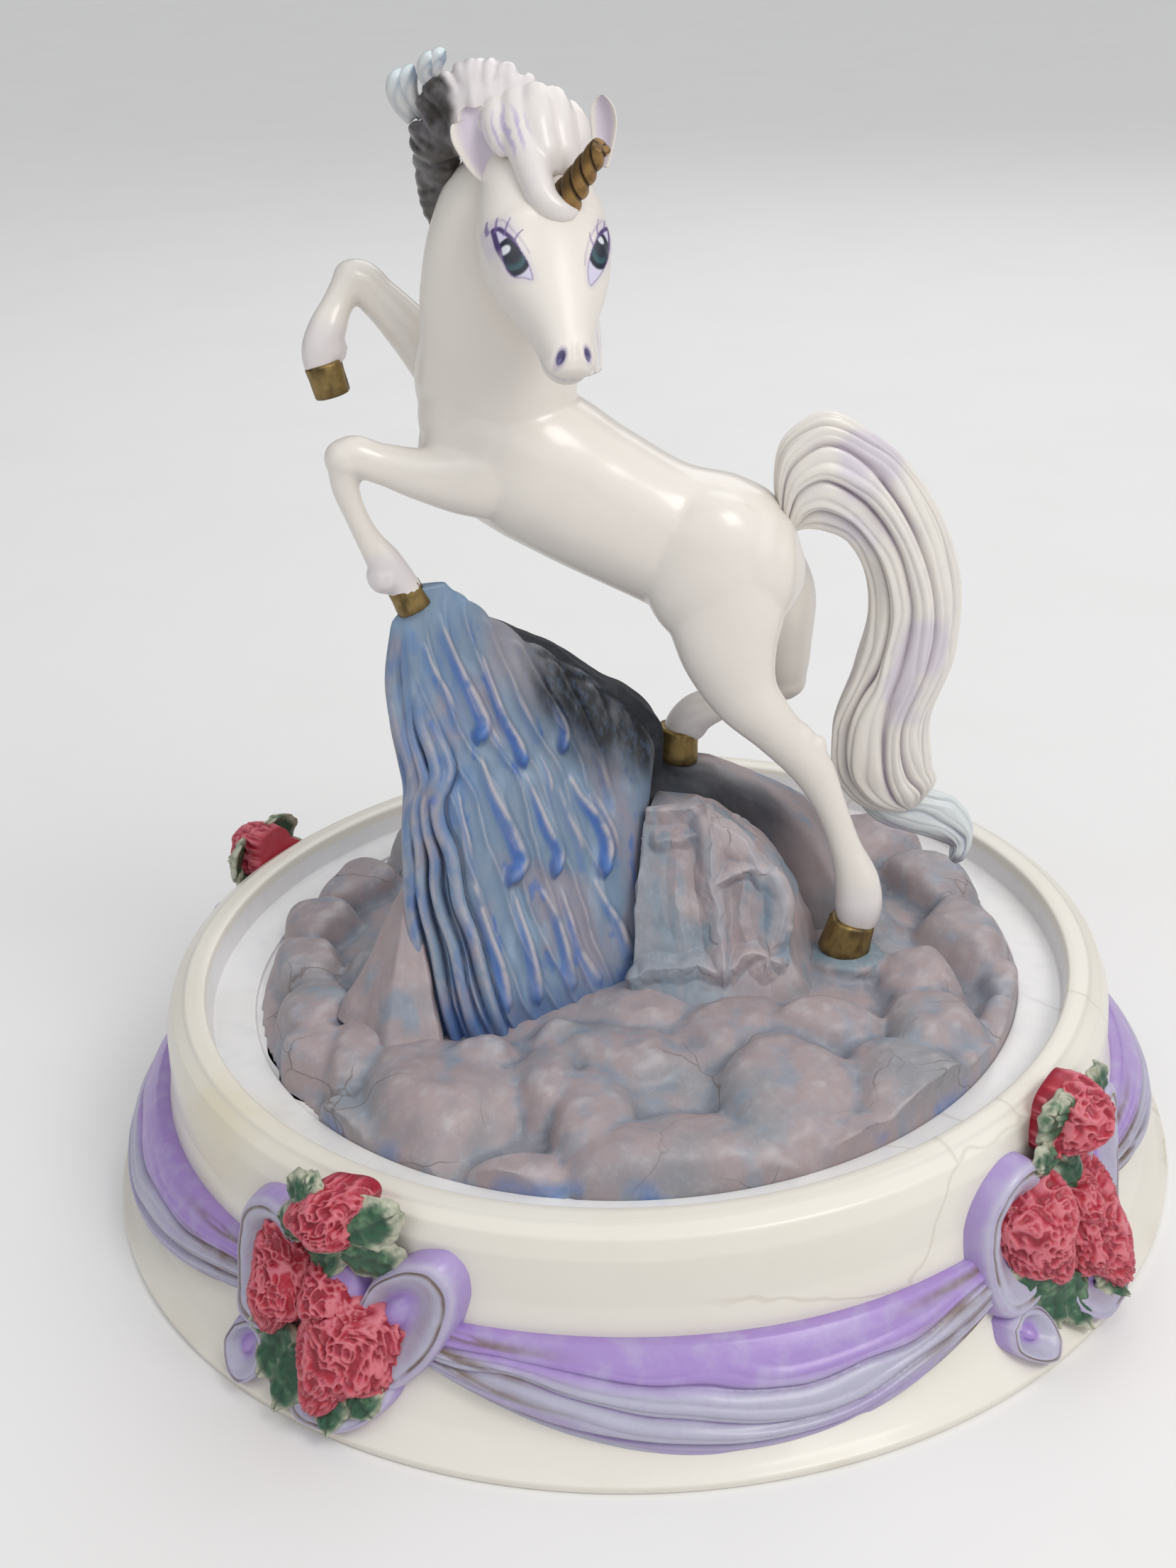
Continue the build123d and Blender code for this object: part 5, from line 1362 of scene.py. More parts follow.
@dataclass
class Head:
    """The head on its own fine grid, with the painted face, and its two ears.

    Face paint is laid out on two axes: c across the face and run down the nose from the poll.
    """

    poll: tuple[float, float, float] = (-7.83, -4.94, 127.34)
    turn: float = 11.8
    tilt: float = 44.8
    roll: float = 11.5
    cream: Color = (0.79, 0.742, 0.685)
    violet: Color = (0.16, 0.09, 0.3)
    lilac: Color = (0.5, 0.44, 0.62)
    stations: Sequence[tuple[float, ...]] = (
        (-2.4, 1, 0.8, 0.9), (-2.1, 2.4, 1.9, 2.1), (-1, 4.2, 3.3, 3.9), (1, 5.2, 4.4, 5.2), (4, 6, 5, 6.4),
        (7, 6.7, 5.25, 7.4), (10, 7.05, 5.3, 8), (13, 6.95, 5.05, 7.9), (15.5, 6.25, 4.6, 6.9),
        (18, 5.1, 4.05, 5.5), (20.5, 4, 3.5, 4.2), (22.8, 3.15, 3, 3.4), (24.4, 2.85, 2.75, 3),
        (25.8, 2.55, 2.4, 2.6), (26.6, 1.95, 1.85, 2), (27.05, 1.15, 1.1, 1.2), (27.2, 0.4, 0.4, 0.5),
    )
    left_eye: Sequence[tuple[float, float]] = (
        (-6.5, 11.3), (-6.1, 11.5), (-5.6, 12.15), (-4.93, 13.4), (-4.39, 14.5), (-3.84, 15.62),
        (-3.56, 16.74), (-3.5, 17.55), (-4.2, 17.1), (-4.95, 16.75), (-5.55, 16), (-5.98, 14.9),
        (-6.18, 13.6), (-6.34, 12.3),
    )
    right_eye: Sequence[tuple[float, float]] = (
        (5.95, 11.1), (5.11, 11.8), (4.03, 13.1), (3.31, 14.29), (2.81, 15.51), (2.42, 17.05), (2.55, 18.3),
        (3.38, 17.55), (4.34, 16.4), (5.15, 15.1), (5.75, 13.6), (6.05, 12.2),
    )
    irises: Sequence[tuple[float, ...]] = ((-5.1, 14.75, 1.5, 2.05, 0.42), (4.35, 14.2, 1.46, 2.2, -0.45))
    lashes: Sequence[tuple[tuple[float, float], ...]] = (
        ((-6.34, 11.6), (-6.22, 10.9), (-6, 10.2)), ((-5.64, 12.3), (-5.42, 11.6), (-5.05, 10.9)),
        ((-4.93, 13.4), (-4.52, 12.8), (-3.88, 12.3)), ((-6.85, 11.3), (-6.85, 10.6), (-6.7, 9.9)),
        ((4.26, 12.9), (4.26, 12), (4.52, 10.9)), ((5.24, 11.7), (5.4, 11), (5.8, 10.2)),
        ((3.45, 14), (3.2, 13.3), (3.2, 12.6)),
    )
    nostrils: Sequence[tuple[float, ...]] = ((-1.55, 25.85, 0.52, 0.8, 0.25), (1.3, 25.65, 0.5, 0.78, -0.25))

    # place, half width and half thickness along each ear
    left_ear: Sequence[Sequence[float]] = (
        (-11.6, -9.3, 125.8, 0.9, 1), (-12.3, -9.9, 128, 1.9, 1.25), (-12.6, -10.2, 129.9, 2.55, 1.35),
        (-12.95, -10.2, 131.3, 2.6, 1.25), (-13.2, -10, 132.5, 1.9, 1), (-13.5, -9.9, 133.1, 0.95, 0.7),
        (-13.5, -9.9, 133.4, 0.3, 0.3),
    )
    right_ear: Sequence[Sequence[float]] = (
        (-0.1, -6.4, 126.2, 0.9, 1), (0.3, -6.2, 128, 1.1, 1.1), (0.45, -6, 129.6, 1.35, 1.1),
        (0.5, -6, 131.2, 1.42, 1), (0.4, -6, 132.4, 1.15, 0.85), (0.4, -6, 133.1, 0.65, 0.5),
        (0.4, -6, 133.4, 0.2, 0.2),
    )

    def axes(self) -> tuple[Array, Array, Array]:
        """Unit axes of the face: down the nose, across it and out of it."""
        t, l, r = np.radians([self.turn, self.tilt, self.roll])
        nose = np.array([np.sin(l) * np.sin(t), -np.sin(l) * np.cos(t), -np.cos(l)])
        level = np.array([np.cos(t), np.sin(t), 0.0])
        cheek = level * np.cos(r) - np.cross(nose, level) * np.sin(r)
        return nose, cheek, np.cross(nose, cheek)

    def world(self, local: Array) -> Array:
        """Places given as across, run and out, moved into the solids' frame."""
        nose, cheek, face = self.axes()
        return np.asarray(self.poll) + local[..., :1] * cheek + local[..., 1:2] * nose + local[..., 2:] * face

    def form(self) -> Array:
        """The grid in face axes: an oval at each station, then soft stamps pushed in or out.

        A stamp adds its depth times e to minus the squared distance over its size, along the
        direction from the nose line to the point.
        """
        rows = np.asarray(self.stations)
        table = smooth_rows(np.column_stack([rows[:, 0], np.zeros((len(rows), 2)), rows[:, 1:]]), 280)
        w = np.linspace(0, 1, 324, endpoint=False)
        u = np.where(w < 0.72, w / 0.72 * 1.16 - 0.08, 1.08 + (w - 0.72) / 0.28 * 0.84) * np.pi
        c, s = (np.sign(f) * np.abs(f) ** (2 / 2.25) for f in (np.cos(u), np.sin(u)))
        run, wide, brow, jaw = (table[:, k, None] for k in (0, 3, 4, 5))
        across = wide * c * (1 - 0.1 * (s < 0) * np.abs(s))
        grid = np.stack([across, run * np.ones_like(c), np.where(s > 0, brow, jaw) * s], -1)
        push = np.zeros(grid.shape[:2])
        front = ramp(s, -0.15, 0.25)

        def stamp(x: float, y: float, wide: float, tall: float, depth: float, lean: float = 0.0) -> None:
            """Adds one soft stamp at across x and run y."""
            a, b = leaning(grid, x, y, lean)
            push[:] += depth * np.exp(-((a / wide) ** 2) - (b / tall) ** 2) * front

        for side, x in ((-1, -5.3), (1, 4.4)):
            stamp(x, 14.4, 2.4, 3.6, -0.5, side * -0.35)
            stamp(x, 14.3, 1.45, 2.3, 0.7, side * -0.35)
            stamp(x - side * 0.7, 10.7, 2.4, 0.9, 0.4, side * 0.3)
            stamp(x + side * 0.8, 18.6, 1.3, 3.0, 0.3)
        stamp(0.3, 17.0, 2.4, 6.5, 0.22)
        for x, y, wide, tall, lean in self.nostrils:
            stamp(x, y, 1.0, 1.3, 0.38, lean)
            stamp(x, y, wide * 0.8, tall * 0.8, -0.75, lean)
        stamp(-0.1, 25.6, 0.4, 1.1, -0.2)
        push -= 0.3 * bell(grid[..., 2], -0.55, 0.28) * ramp(run, 23.0, 25.0)
        way = grid * [1, 0.04, 1] - [0, 0.4, 0]
        return grid + unit(way) * push[..., None]

    def painted(self, grid: Array) -> Array:
        """The face's colors: lids, whites, iris with pupil and highlight, lashes, nostrils and washes: a
        mottle, the lip and painted shade under the jaw.
        """
        flat = grid.reshape(-1, 3)
        spots, out = flat[:, :2], flat[:, 2]
        mottle = ramp(layered(self.world(flat), 6, 2), 0.2, 1.0)
        # painted shade on the underside of the jaw
        color = washed(
            self.cream, ((0.6, 0.54, 0.52), 0.35 * ramp(-out, 2.0, 6.5)), ((0.74, 0.68, 0.7), 0.35 * mottle)
        )
        face = np.flatnonzero(out > 0.2)
        here, paint = spots[face], color[face]
        for side, outline, iris in ((-1, self.left_eye, self.irises[0]), (1, self.right_eye, self.irises[1])):
            hold = np.flatnonzero(np.linalg.norm(here - eye_line(outline).mean(0), axis=1) < 6.5)
            paint[hold] = self.eye(here[hold], paint[hold], side, outline, iris)
        for lash in self.lashes:
            line = smooth_line(lash, 24)
            hold = np.flatnonzero(np.linalg.norm(here - line.mean(0), axis=1) < 2.5)
            root = np.linalg.norm(here[hold] - line[0], axis=1)
            width = 0.13 - 0.07 * np.clip(root / 1.6, 0, 1)
            mark = 0.75 * fade(distance_to(line, here[hold]) / width, 0.7, 1.25)
            paint[hold] = blend(paint[hold], self.violet, mark)
        for x, y, wide, tall, lean in self.nostrils:
            a, b = leaning(here, x, y, lean)
            near = np.hypot(a / wide, b / tall)
            dark, round_it = fade(near, 0.62, 1.0), 0.65 * fade(near, 0.95, 1.5)
            paint = washed(paint, ((0.5, 0.44, 0.54), round_it), ((0.105, 0.09, 0.21), dark))
        color[face] = paint
        lip = bell(out, -0.55, 0.22) * ramp(flat[:, 1], 23.2, 25.0)
        return blend(color, (0.55, 0.47, 0.58), 0.55 * lip).reshape(grid.shape)

    def eye(self, at: Array, tone: Array, side: int, outline: Sequence[tuple[float, float]],
            iris_row: Sequence[float]) -> Array:
        """The colors round one eye.

        Args:
            at: places near it, across and down the face.
            tone: their colors so far.
            side: -1 for the left eye and 1 for the right one.
            outline: the lids' line.
            iris_row: the iris's middle, its half width and half height, and its lean.

        Returns:
            The new colors.
        """
        eye = eye_line(outline)
        rim, within = distance_to(eye, at), inside(eye, at)
        x, y, wide, tall, lean = iris_row
        a, b = leaning(at, x, y, -lean)
        a, b = a / wide, b / tall
        away = np.hypot(a, b)
        iris = fade(away, 0.95, 1.06) * within
        upper = ramp(-b, -0.1, 1.0)
        lid = fade(rim, 0.03 + 0.09 * upper, 0.11 + 0.13 * upper)
        shine = np.hypot((a + 0.2) / 0.3, (b + 0.48) / 0.24)
        fold = smooth_line(outline[:6], 60) + [side * -0.3, -0.75]
        return washed(
            tone,
            (self.lilac, 0.4 * ramp(-b, 0.4, 1.2) * fade(rim, 0.3, 1.7) * ~within),
            (self.lilac, 0.25 * fade(rim, 0.1, 0.7) * ~within),
            ((0.66, 0.62, 0.78), 0.95 * within),
            ((0.01, 0.014, 0.03), iris),
            ((0.035, 0.12, 0.14), 0.65 * iris * bell(away, 0.55, 0.13) * ramp(b, -0.05, 0.5)),
            ((0.07, 0.19, 0.2), 0.35 * iris * bell(away, 0.66, 0.06) * ramp(b, 0.0, 0.6)),
            ((0.72, 0.76, 0.8), fade(shine, 0.75, 1.15) * within),
            (blend(self.violet, (0.03, 0.02, 0.09), 0.75 * upper), lid * (0.55 + 0.45 * upper)),
            (self.violet, 0.3 * fade(distance_to(fold, at), 0.05, 0.17)),
        )

    def ear(self, rows: Sequence[Sequence[float]], front: Sequence[float]) -> Shell:
        """A cupped ear: an oval at each station whose front is drawn in by its sine squared.

        Args:
            rows: place, half width and half thickness of each station.
            front: the way the cup opens.

        Returns:
            The ear, darker in its hollow.
        """
        table = smooth_rows(rows, 40)
        path, wide, thick = table[:, :3], table[:, 3, None], table[:, 4, None]
        along, way = unit(np.gradient(path, axis=0)), np.asarray(front, float)
        open_way = unit(way - along * (along @ way)[:, None])
        u = circle(48)
        deep = np.where(np.sin(u) > 0, np.sin(u) ** 2, 0)
        cup = deep * 1.9 * np.sqrt(np.linspace(0.3, 1, 40))[:, None]
        x, y = wide * np.cos(u), thick * (np.sin(u) - cup)
        aside = np.cross(along, open_way)
        grid = path[:, None] + aside[:, None] * x[..., None] + open_way[:, None] * y[..., None]
        dark = 0.85 * ramp(deep * np.ones_like(x), 0.3, 0.85)
        return shell_of(grid, blend(self.cream, (0.62, 0.56, 0.68), dark))

    def build(self) -> None:
        """Makes head and ears as one piece."""
        grid = self.form()
        skin = shell_of(self.world(grid), self.painted(grid))
        ears = [self.ear(self.left_ear, (0.25, -1.0, 0.1)), self.ear(self.right_ear, (-0.3, -1.0, 0.05))]
        show("head_painted", joined([skin, *ears]), Slot.CREAM, "head", finish=FACE)


def eye_line(outline: Sequence[tuple[float, float]]) -> Array:
    """The closed line of the lids."""
    return smooth_line([*outline, outline[0]], 90)


FACE = Finish(
    "face glaze", roughness=0.42, coat=0.12, mottle=0.05, mottle_size=7, tint=(0.62, 0.56, 0.54),
    grain=0.012, grain_size=0.9,
)


@dataclass
class Horn:
    """A short rope of three gilt strands, hollow-looking, with painted shade on its left side and in its
    grooves.
    """

    base: tuple[float, float, float] = (-4.3, -14.1, 123.7)
    tip: tuple[float, float, float] = (0.1, -17.6, 130.1)
    base_radius: float = 1.95
    tip_radius: float = 1.1
    turns: float = 1.5
    lobes: int = 3

    def build(self) -> None:
        """Makes the rope: its taper is drawn in by a quarter where the lobes' cosine is near zero."""
        t = np.concatenate([[0.0], np.linspace(0, 1, 120), [1.0, 1.0]])[:, None]
        fill = np.concatenate([[0.5], np.ones(120), [0.75, 0.35]])[:, None]
        start, axis = np.asarray(self.base), np.asarray(self.tip) - np.asarray(self.base)
        along = unit(axis)
        side = unit(np.cross(along, [0.0, 1.0, 0.0]))
        rise = np.cross(side, along)
        u = circle(96)
        wave = np.abs(np.cos(self.lobes * (u - 2 * np.pi * self.turns * t) / 2)) ** 0.6
        radius = (self.base_radius + (self.tip_radius - self.base_radius) * t) * fill * (0.74 + 0.26 * wave)
        middle = start + axis * t[..., None]
        reach = side * (radius * np.cos(u))[..., None] + rise * (radius * np.sin(u))[..., None]
        # painted shade on the left side and in the grooves between the strands
        left = ramp(-unit(reach)[..., 0], 0.1, 0.75) * (1 - 0.5 * t)
        groove = ((0.025, 0.014, 0.008), fade(wave, 0.2, 0.75))
        color = washed((0.33, 0.195, 0.065), groove, ((0.018, 0.01, 0.007), 0.85 * left))
        show("horn_rope", shell_of(middle + reach, color), Slot.GILT, "horn")


@dataclass
class Strand:
    """One lock of hair: a tapered tube with fine grooves, with painted shade where it turns in towards its
    neighbours and in the grooves.
    """

    rows: Sequence[Sequence[float]]
    core: Sequence[float]
    root: Color
    tip: Color
    groove: Color
    rings: int = 40
    around: int = 26
    grooves: int = 3

    def shell(self) -> Shell:
        """The tube's rings drawn in by a small share where the cosine of the grooves is near zero."""
        table = smooth_rows(self.rows, self.rings)
        grid = oval_tube(table, self.rings, self.around)
        middle = table[:, None, :3]
        sway = 0.8 * np.sin(np.linspace(0, 5, self.rings))[:, None]
        wave = np.abs(np.cos(self.grooves * circle(self.around) / 2 + sway))
        grid = middle + (grid - middle) * (0.84 + 0.16 * wave)[..., None]
        out = unit(table[:, :3] - np.asarray(self.core))
        facing = (unit(grid - middle) * out[:, None]).sum(-1)
        share = np.linspace(0, 1, self.rings)[:, None] * np.ones_like(facing)
        # painted shade where the tube turns in and in its grooves
        dark = 0.85 * fade(facing, -0.35, 0.45) + 0.35 * fade(wave, 0.1, 0.6)
        return shell_of(grid, washed(self.root, (self.tip, ramp(share, 0.55, 1.0)), (self.groove, dark)))


def fan(rows: Sequence[Sequence[float]], ribs: int, count: int, around: int, depth: float, base: Color,
        groove: Color, seed: int, shift: float = 0.5) -> Shell:
    """Hair spread from an inner to an outer edge and carried along, with ribs along its length.

    Each ring is an oval whose long half is half the spread; its radius is one less the depth times
    a groove, which is one where the cosine of the ribs' angle, bent by noise, is zero.

    Args:
        rows: outer edge across and up, inner edge across and up, middle deep, half width, in millimetres.
        ribs: ribs around a ring.
        count: rings.
        around: points in a ring.
        depth: depth of a groove as a share of the radius.
        base: color of the ribs.
        groove: color between them, laid as painted shade in the grooves.
        seed: another wander of the ribs for each number.
        shift: how far the ribs wander.

    Returns:
        The shell with its paint.
    """
    table = spread(rows, count)
    outer = np.column_stack([table[:, 3], table[:, 7], table[:, 4]])
    inner = np.column_stack([table[:, 5], table[:, 7], table[:, 6]])
    half, deep = (outer - inner) / 2, np.maximum(table[:, 8], 0.1)
    u, t = circle(around), np.linspace(0, 1, count)[:, None]
    ring = np.stack([np.cos(u) * np.ones_like(t), np.sin(u) * np.ones_like(t), 3 * t * np.ones_like(u)], -1)
    bend = shift * layered(ring * 1.6, 1.0, seed, 2)
    big = np.abs(np.cos(ribs * u / 2 + bend * 1.6)) ** 0.7
    small = np.abs(np.cos(ribs * 3 * u / 2 + bend * 4.0)) ** 0.8
    swell = 1 - depth * (1 - big) - 0.25 * depth * (1 - small)
    grid = (
        (outer + inner)[:, None] / 2
        + half[:, None] * (np.cos(u) * swell)[..., None]
        + np.array([0.0, 1.0, 0.0]) * (deep[:, None] * np.sin(u) * swell)[..., None]
    )
    # painted shade in the grooves between the ribs
    dark = ramp(1 - big, 0.25, 0.95) * 0.9 + 0.35 * ramp(1 - small, 0.4, 1.0)
    faint = 0.35 + 0.65 * ramp(layered(grid, 7.0, seed + 3), -0.5, 0.8)
    lilac = 0.5 * ramp(layered(grid, 8.0, seed + 8), 0.15, 0.7)
    return shell_of(grid, washed(base, ((0.56, 0.49, 0.66), lilac), (groove, dark * faint)))


def spread(rows: Sequence[Sequence[float]], count: int) -> Array:
    """The rows of a fan resampled along its middle line, whose place comes before each row."""
    raw = np.asarray(rows, float)
    middle = np.column_stack([(raw[:, 0] + raw[:, 2]) / 2, raw[:, 4], (raw[:, 1] + raw[:, 3]) / 2])
    return smooth_rows(np.column_stack([middle, raw]), count)


@dataclass
class Hair:
    """Mane, its tips and crest, forelock, tail and curl."""

    white: Color = (0.8, 0.775, 0.745)
    lilac: Color = (0.47, 0.41, 0.6)
    umber: Color = (0.15, 0.115, 0.1)
    mint: Color = (0.66, 0.76, 0.78)
    mane: Sequence[tuple[float, ...]] = (
        (-1.4, 130.2, -2.4, 127.6, -7, 1.9), (-4, 131.7, -4.8, 128.2, -6.8, 2.8),
        (-7.2, 134.7, -7.8, 128.8, -6.2, 3.5), (-10.4, 136.5, -10.8, 129.2, -5.2, 4),
        (-14.4, 136.3, -13.2, 129.2, -3.8, 4.1), (-18, 133.9, -14.6, 128.6, -2.6, 4),
        (-19.5, 129.8, -15.2, 127, -1.4, 3.8), (-19.4, 125.6, -15.6, 124, -0.2, 3.3),
        (-19.1, 121.8, -16.4, 121.4, 0.5, 2.2), (-18.4, 119.6, -17, 119.8, 0.8, 0.9),
    )
    # the edge of the painted shadow on the mane: a height, then how far across it reaches
    shadow: Sequence[tuple[float, float]] = (
        (118, -12.6), (124, -13.4), (125.5, -13.9), (128.7, -15.4), (133.3, -15.4), (134.9, -16.2),
        (136.8, -17.9),
    )
    tail: Sequence[tuple[float, ...]] = (
        (19.3, 83.8, 20.9, 82.4, 0, 1.3), (18.6, 88.2, 21.9, 82.6, 0.1, 2.3),
        (19.6, 93.6, 22.6, 82.6, 0.1, 3), (23.6, 96.6, 23.4, 82.4, 0.2, 3.5),
        (30.8, 93.4, 26.1, 81.2, 0.6, 3.8), (37.1, 86, 29, 77.2, 0.9, 4), (40.8, 76.2, 29.8, 71.2, 1, 4),
        (40.8, 65.8, 27.9, 64, 1, 3.8), (37.8, 56.8, 25.4, 55.6, 1, 3.5), (38.2, 51, 26.3, 48.8, 1, 3),
        (38.4, 47.6, 31, 44.8, 1, 1.8), (37, 45.6, 34.2, 44.2, 1, 0.6),
    )
    curl: Sequence[tuple[float, ...]] = (
        (31, 49.3, 28.2, 46.7, 2.2, 2), (34.3, 47.1, 31.2, 42.6, 3, 2.2), (38.5, 46.1, 35.8, 40, 3.4, 2.2),
        (42, 44.4, 39.2, 38.8, 3.4, 2), (44, 40.6, 41, 38, 3.1, 1.6), (42.9, 36.2, 41, 37.2, 2.8, 1.1),
        (41.9, 35.6, 41, 36.4, 2.8, 0.4),
    )
    crest: Sequence[tuple[float, ...]] = (
        (-6, 125.9, -9.9, 125.7, 0, 2), (-4, 120.4, -8.6, 120.6, 0.4, 2.6),
        (-2.2, 113.6, -7, 113.3, 0.6, 2.6), (-0.9, 108.6, -5.7, 108.1, 0.6, 2.3),
        (-0.8, 102.6, -3.6, 101.9, 0.4, 1.2),
    )

    # shares of the way across, of the half width towards the back, and radii along a lock
    lock_run: Sequence[float] = (0.0, 0.22, 0.5, 0.8, 1.0, 0.98, 0.65)
    lock_deep: Sequence[float] = (0.0, -0.32, -0.45, -0.34, -0.26, 0.35, 0.85)
    lock_size: Sequence[float] = (0.45, 0.8, 0.95, 0.9, 0.8, 0.75, 0.4)
    left_tip: Sequence[tuple[float, ...]] = (
        (-19.4, -0.6, 131.4), (-20.6, -0.9, 133.2), (-20.9, -1.1, 134.8), (-20.5, -1.2, 136.1),
        (-20.1, -1.2, 136.6),
    )
    right_tip: Sequence[tuple[float, ...]] = (
        (-17, -2.6, 134.8), (-17.6, -2.8, 136.2), (-17.3, -3, 137.4), (-16.7, -3.1, 138),
        (-16.4, -3.1, 138.2),
    )
    # places in face axes and radii of the forelock's rolls
    rolls: Sequence[tuple] = (
        (
            (
                (-2.6, -3, 6), (-3.1, 0.6, 6.2), (-2.8, 3, 5.9), (-2.3, 5, 5.7), (-2, 7, 5.6),
                (-1.6, 8.8, 5.5), (-0.9, 10, 5.5), (0.1, 10.6, 5.5), (1.2, 10.5, 5.4), (2, 9.9, 5.2),
            ),
            (1.2, 1.45, 1.5, 1.5, 1.45, 1.35, 1.2, 1.05, 0.8, 0.4),
        ),
        (
            ((-0.6, -3.2, 6.6), (-1, 0.2, 6.8), (-0.9, 2.6, 6.3), (-0.6, 4.8, 5.8), (-0.2, 6.4, 5.4)),
            (1.3, 1.7, 1.7, 1.5, 0.8),
        ),
        (
            ((1.4, -3.2, 6.2), (1.2, 0, 6.5), (1.2, 2.6, 6), (1.7, 4.6, 5.4), (2.4, 5.8, 4.9)),
            (1.2, 1.6, 1.6, 1.3, 0.6),
        ),
        (((3.2, -2.6, 5), (3.4, 0, 5.4), (3.6, 2, 5), (4.1, 3.6, 4.3)), (1.1, 1.45, 1.3, 0.6)),
        (((-4.4, -2.6, 5), (-4.9, -0.2, 5.2), (-4.7, 1.8, 4.8), (-4.2, 3.4, 4.4)), (1.1, 1.3, 1.1, 0.5)),
    )

    def mane_locks(self) -> list[Shell]:
        """Locks that start at the parting behind the forehead, cross to the skyline and roll over it."""
        table = spread(self.mane, 200)
        rng = np.random.default_rng(5)
        made = []
        for share in np.linspace(0.03, 0.97, 30):
            t = share + rng.uniform(-0.012, 0.012)
            here, late = table[int(t * 199)], table[int(min(1.0, t + 0.08) * 199)]
            inner = np.array([here[5], here[7] - 0.8 * here[8], here[6]])
            gap = np.array([late[3], late[7], late[4]]) - inner
            wave = 0.4 * np.sin(np.linspace(0, 2.2 * np.pi, 7) + rng.uniform(0, 6))
            side = unit(np.cross(gap, [0.0, 1.0, 0.0]))
            deep = np.array(self.lock_deep) * late[8]
            deep[0] = 0.6
            path = inner + gap * np.array(self.lock_run)[:, None] + side * wave[:, None]
            path[:, 1] += deep
            size = np.array(self.lock_size) * rng.uniform(0.8, 1.2)
            made.append(shell_of(oval_tube(np.column_stack([path, size, size * 0.9]), 50, 18)))
        return made

    def mane_mass(self) -> Shell:
        """The locks and the body under them as one skin: near-black umber as painted shadow behind the ear,
        white before it, and painted shade in the creases.
        """
        core = np.asarray(self.mane, float)
        core = core + np.column_stack([0.05 * (core[:, 2:4] - core[:, :2]), np.zeros((len(core), 4))])
        base = fan(core, 10, 120, 120, 0.06, self.white, self.umber, 2)
        skin = fused([base, *self.mane_locks()], 0.25, 3)
        spots = skin.corners
        x, y, z = spots.T
        fine, wide = hollowness(skin, 4), hollowness(skin, 16)
        # painted shadow: dark where the hair lies left of the shadow line
        edge = x - np.interp(z, *np.array(self.shadow).T) + 0.5 * layered(spots, 2.5, 3)
        dark = np.clip(fade(edge, -0.2, 1.2) * (1 - 0.15 * ramp(y, 0.5, 3.0)), 0, 1)
        white = washed(
            (0.74, 0.69, 0.69),
            # painted shade in the creases between the locks
            ((0.44, 0.34, 0.34), 0.8 * ramp(fine, 0.01, 0.14)),
            ((0.24, 0.17, 0.16), 0.7 * ramp(fine, 0.12, 0.28)),
            ((0.6, 0.55, 0.58), 0.45 * ramp(wide, 0.05, 0.4)),
        )
        brown = washed(
            (0.066, 0.055, 0.047),
            # painted shade in the creases, inside the painted shadow
            ((0.018, 0.013, 0.01), ramp(fine, -0.12, 0.04)),
            ((0.028, 0.02, 0.017), 0.8 * ramp(wide, 0.02, 0.3)),
        )
        strokes = ramp(np.sin(3.4 * (x + 0.35 * (z - 131)) + 1.2 * layered(spots, 2.4, 7)), 0.1, 0.8)
        place = fade(np.hypot((x + 8.4) / 2.6, (z - 131.4) / 2.6), 0.6, 1.15)
        skin.paint = washed(white, (brown, dark), (self.lilac, 0.9 * strokes * place * (y < -5)))
        return skin

    def tip_locks(self) -> list[Shell]:
        """The two flying tips, pale blue-white: each two broad folded locks side by side."""
        made = []
        for line, scale in ((self.left_tip, 1.0), (self.right_tip, 0.85)):
            for j in (-1, 1):
                path = np.array(line) + np.array([0.62, -0.25 * j, 0.18]) * j * scale
                size = np.array([0.9, 1.05, 1.15, 0.85, 0.25]) * scale
                core = path.mean(0) - [0.4 * j, -1, 2]
                rows = np.column_stack([path, size, size])
                made.append(Strand(rows, core, (0.62, 0.62, 0.62), self.mint, (0.26, 0.33, 0.42)).shell())
        return made

    def forelock(self) -> Shell:
        """The hair that comes over the poll and ends in the lock that curls up under the horn, one skin."""
        tubes = []
        for line, sizes in self.rolls:
            path, size = Head().world(np.asarray(line, float)), 1.26 * np.asarray(sizes)
            tubes.append(shell_of(oval_tube(np.column_stack([path, size, size]), 80, 26)))
        skin = fused(tubes, 0.2, 15)
        spots = skin.corners
        x, _, z = spots.T
        strokes = ramp(np.sin(5.2 * (x + 0.3 * (z - 131)) + 1.8 * layered(spots, 1.8, 9)), 0.0, 0.8)
        place = fade(np.hypot((x + 9.4) / 2.6, (z - 131.2) / 2.6), 0.5, 1.15)
        skin.paint = washed(
            (0.76, 0.71, 0.68),
            # painted shade in the creases between the rolls
            ((0.46, 0.37, 0.38), 0.75 * ramp(hollowness(skin, 5), 0.01, 0.12)),
            ((0.34, 0.26, 0.26), 0.6 * ramp(hollowness(skin, 16), 0.08, 0.45)),
            (self.lilac, 0.85 * strokes * place),
        )
        return skin

    def build(self) -> None:
        """Makes the five pieces of hair."""
        show("mane_locks", joined([self.mane_mass(), *self.tip_locks()]), Slot.HAIR, "mane")
        show("forelock_locks", self.forelock(), Slot.HAIR, "forelock")
        crest = fan(self.crest, 8, 90, 120, 0.2, self.white, self.lilac, 4)
        show("mane_crest_ribbed", crest, Slot.HAIR, "mane_crest")
        tail = fan(self.tail, 9, 200, 250, 0.25, (0.8, 0.76, 0.7), (0.3, 0.24, 0.3), 7, 0.75)
        show("tail_ribbed", tail, Slot.HAIR, "tail")
        curl = fan(self.curl, 6, 120, 170, 0.2, (0.66, 0.7, 0.7), (0.34, 0.37, 0.46), 9)
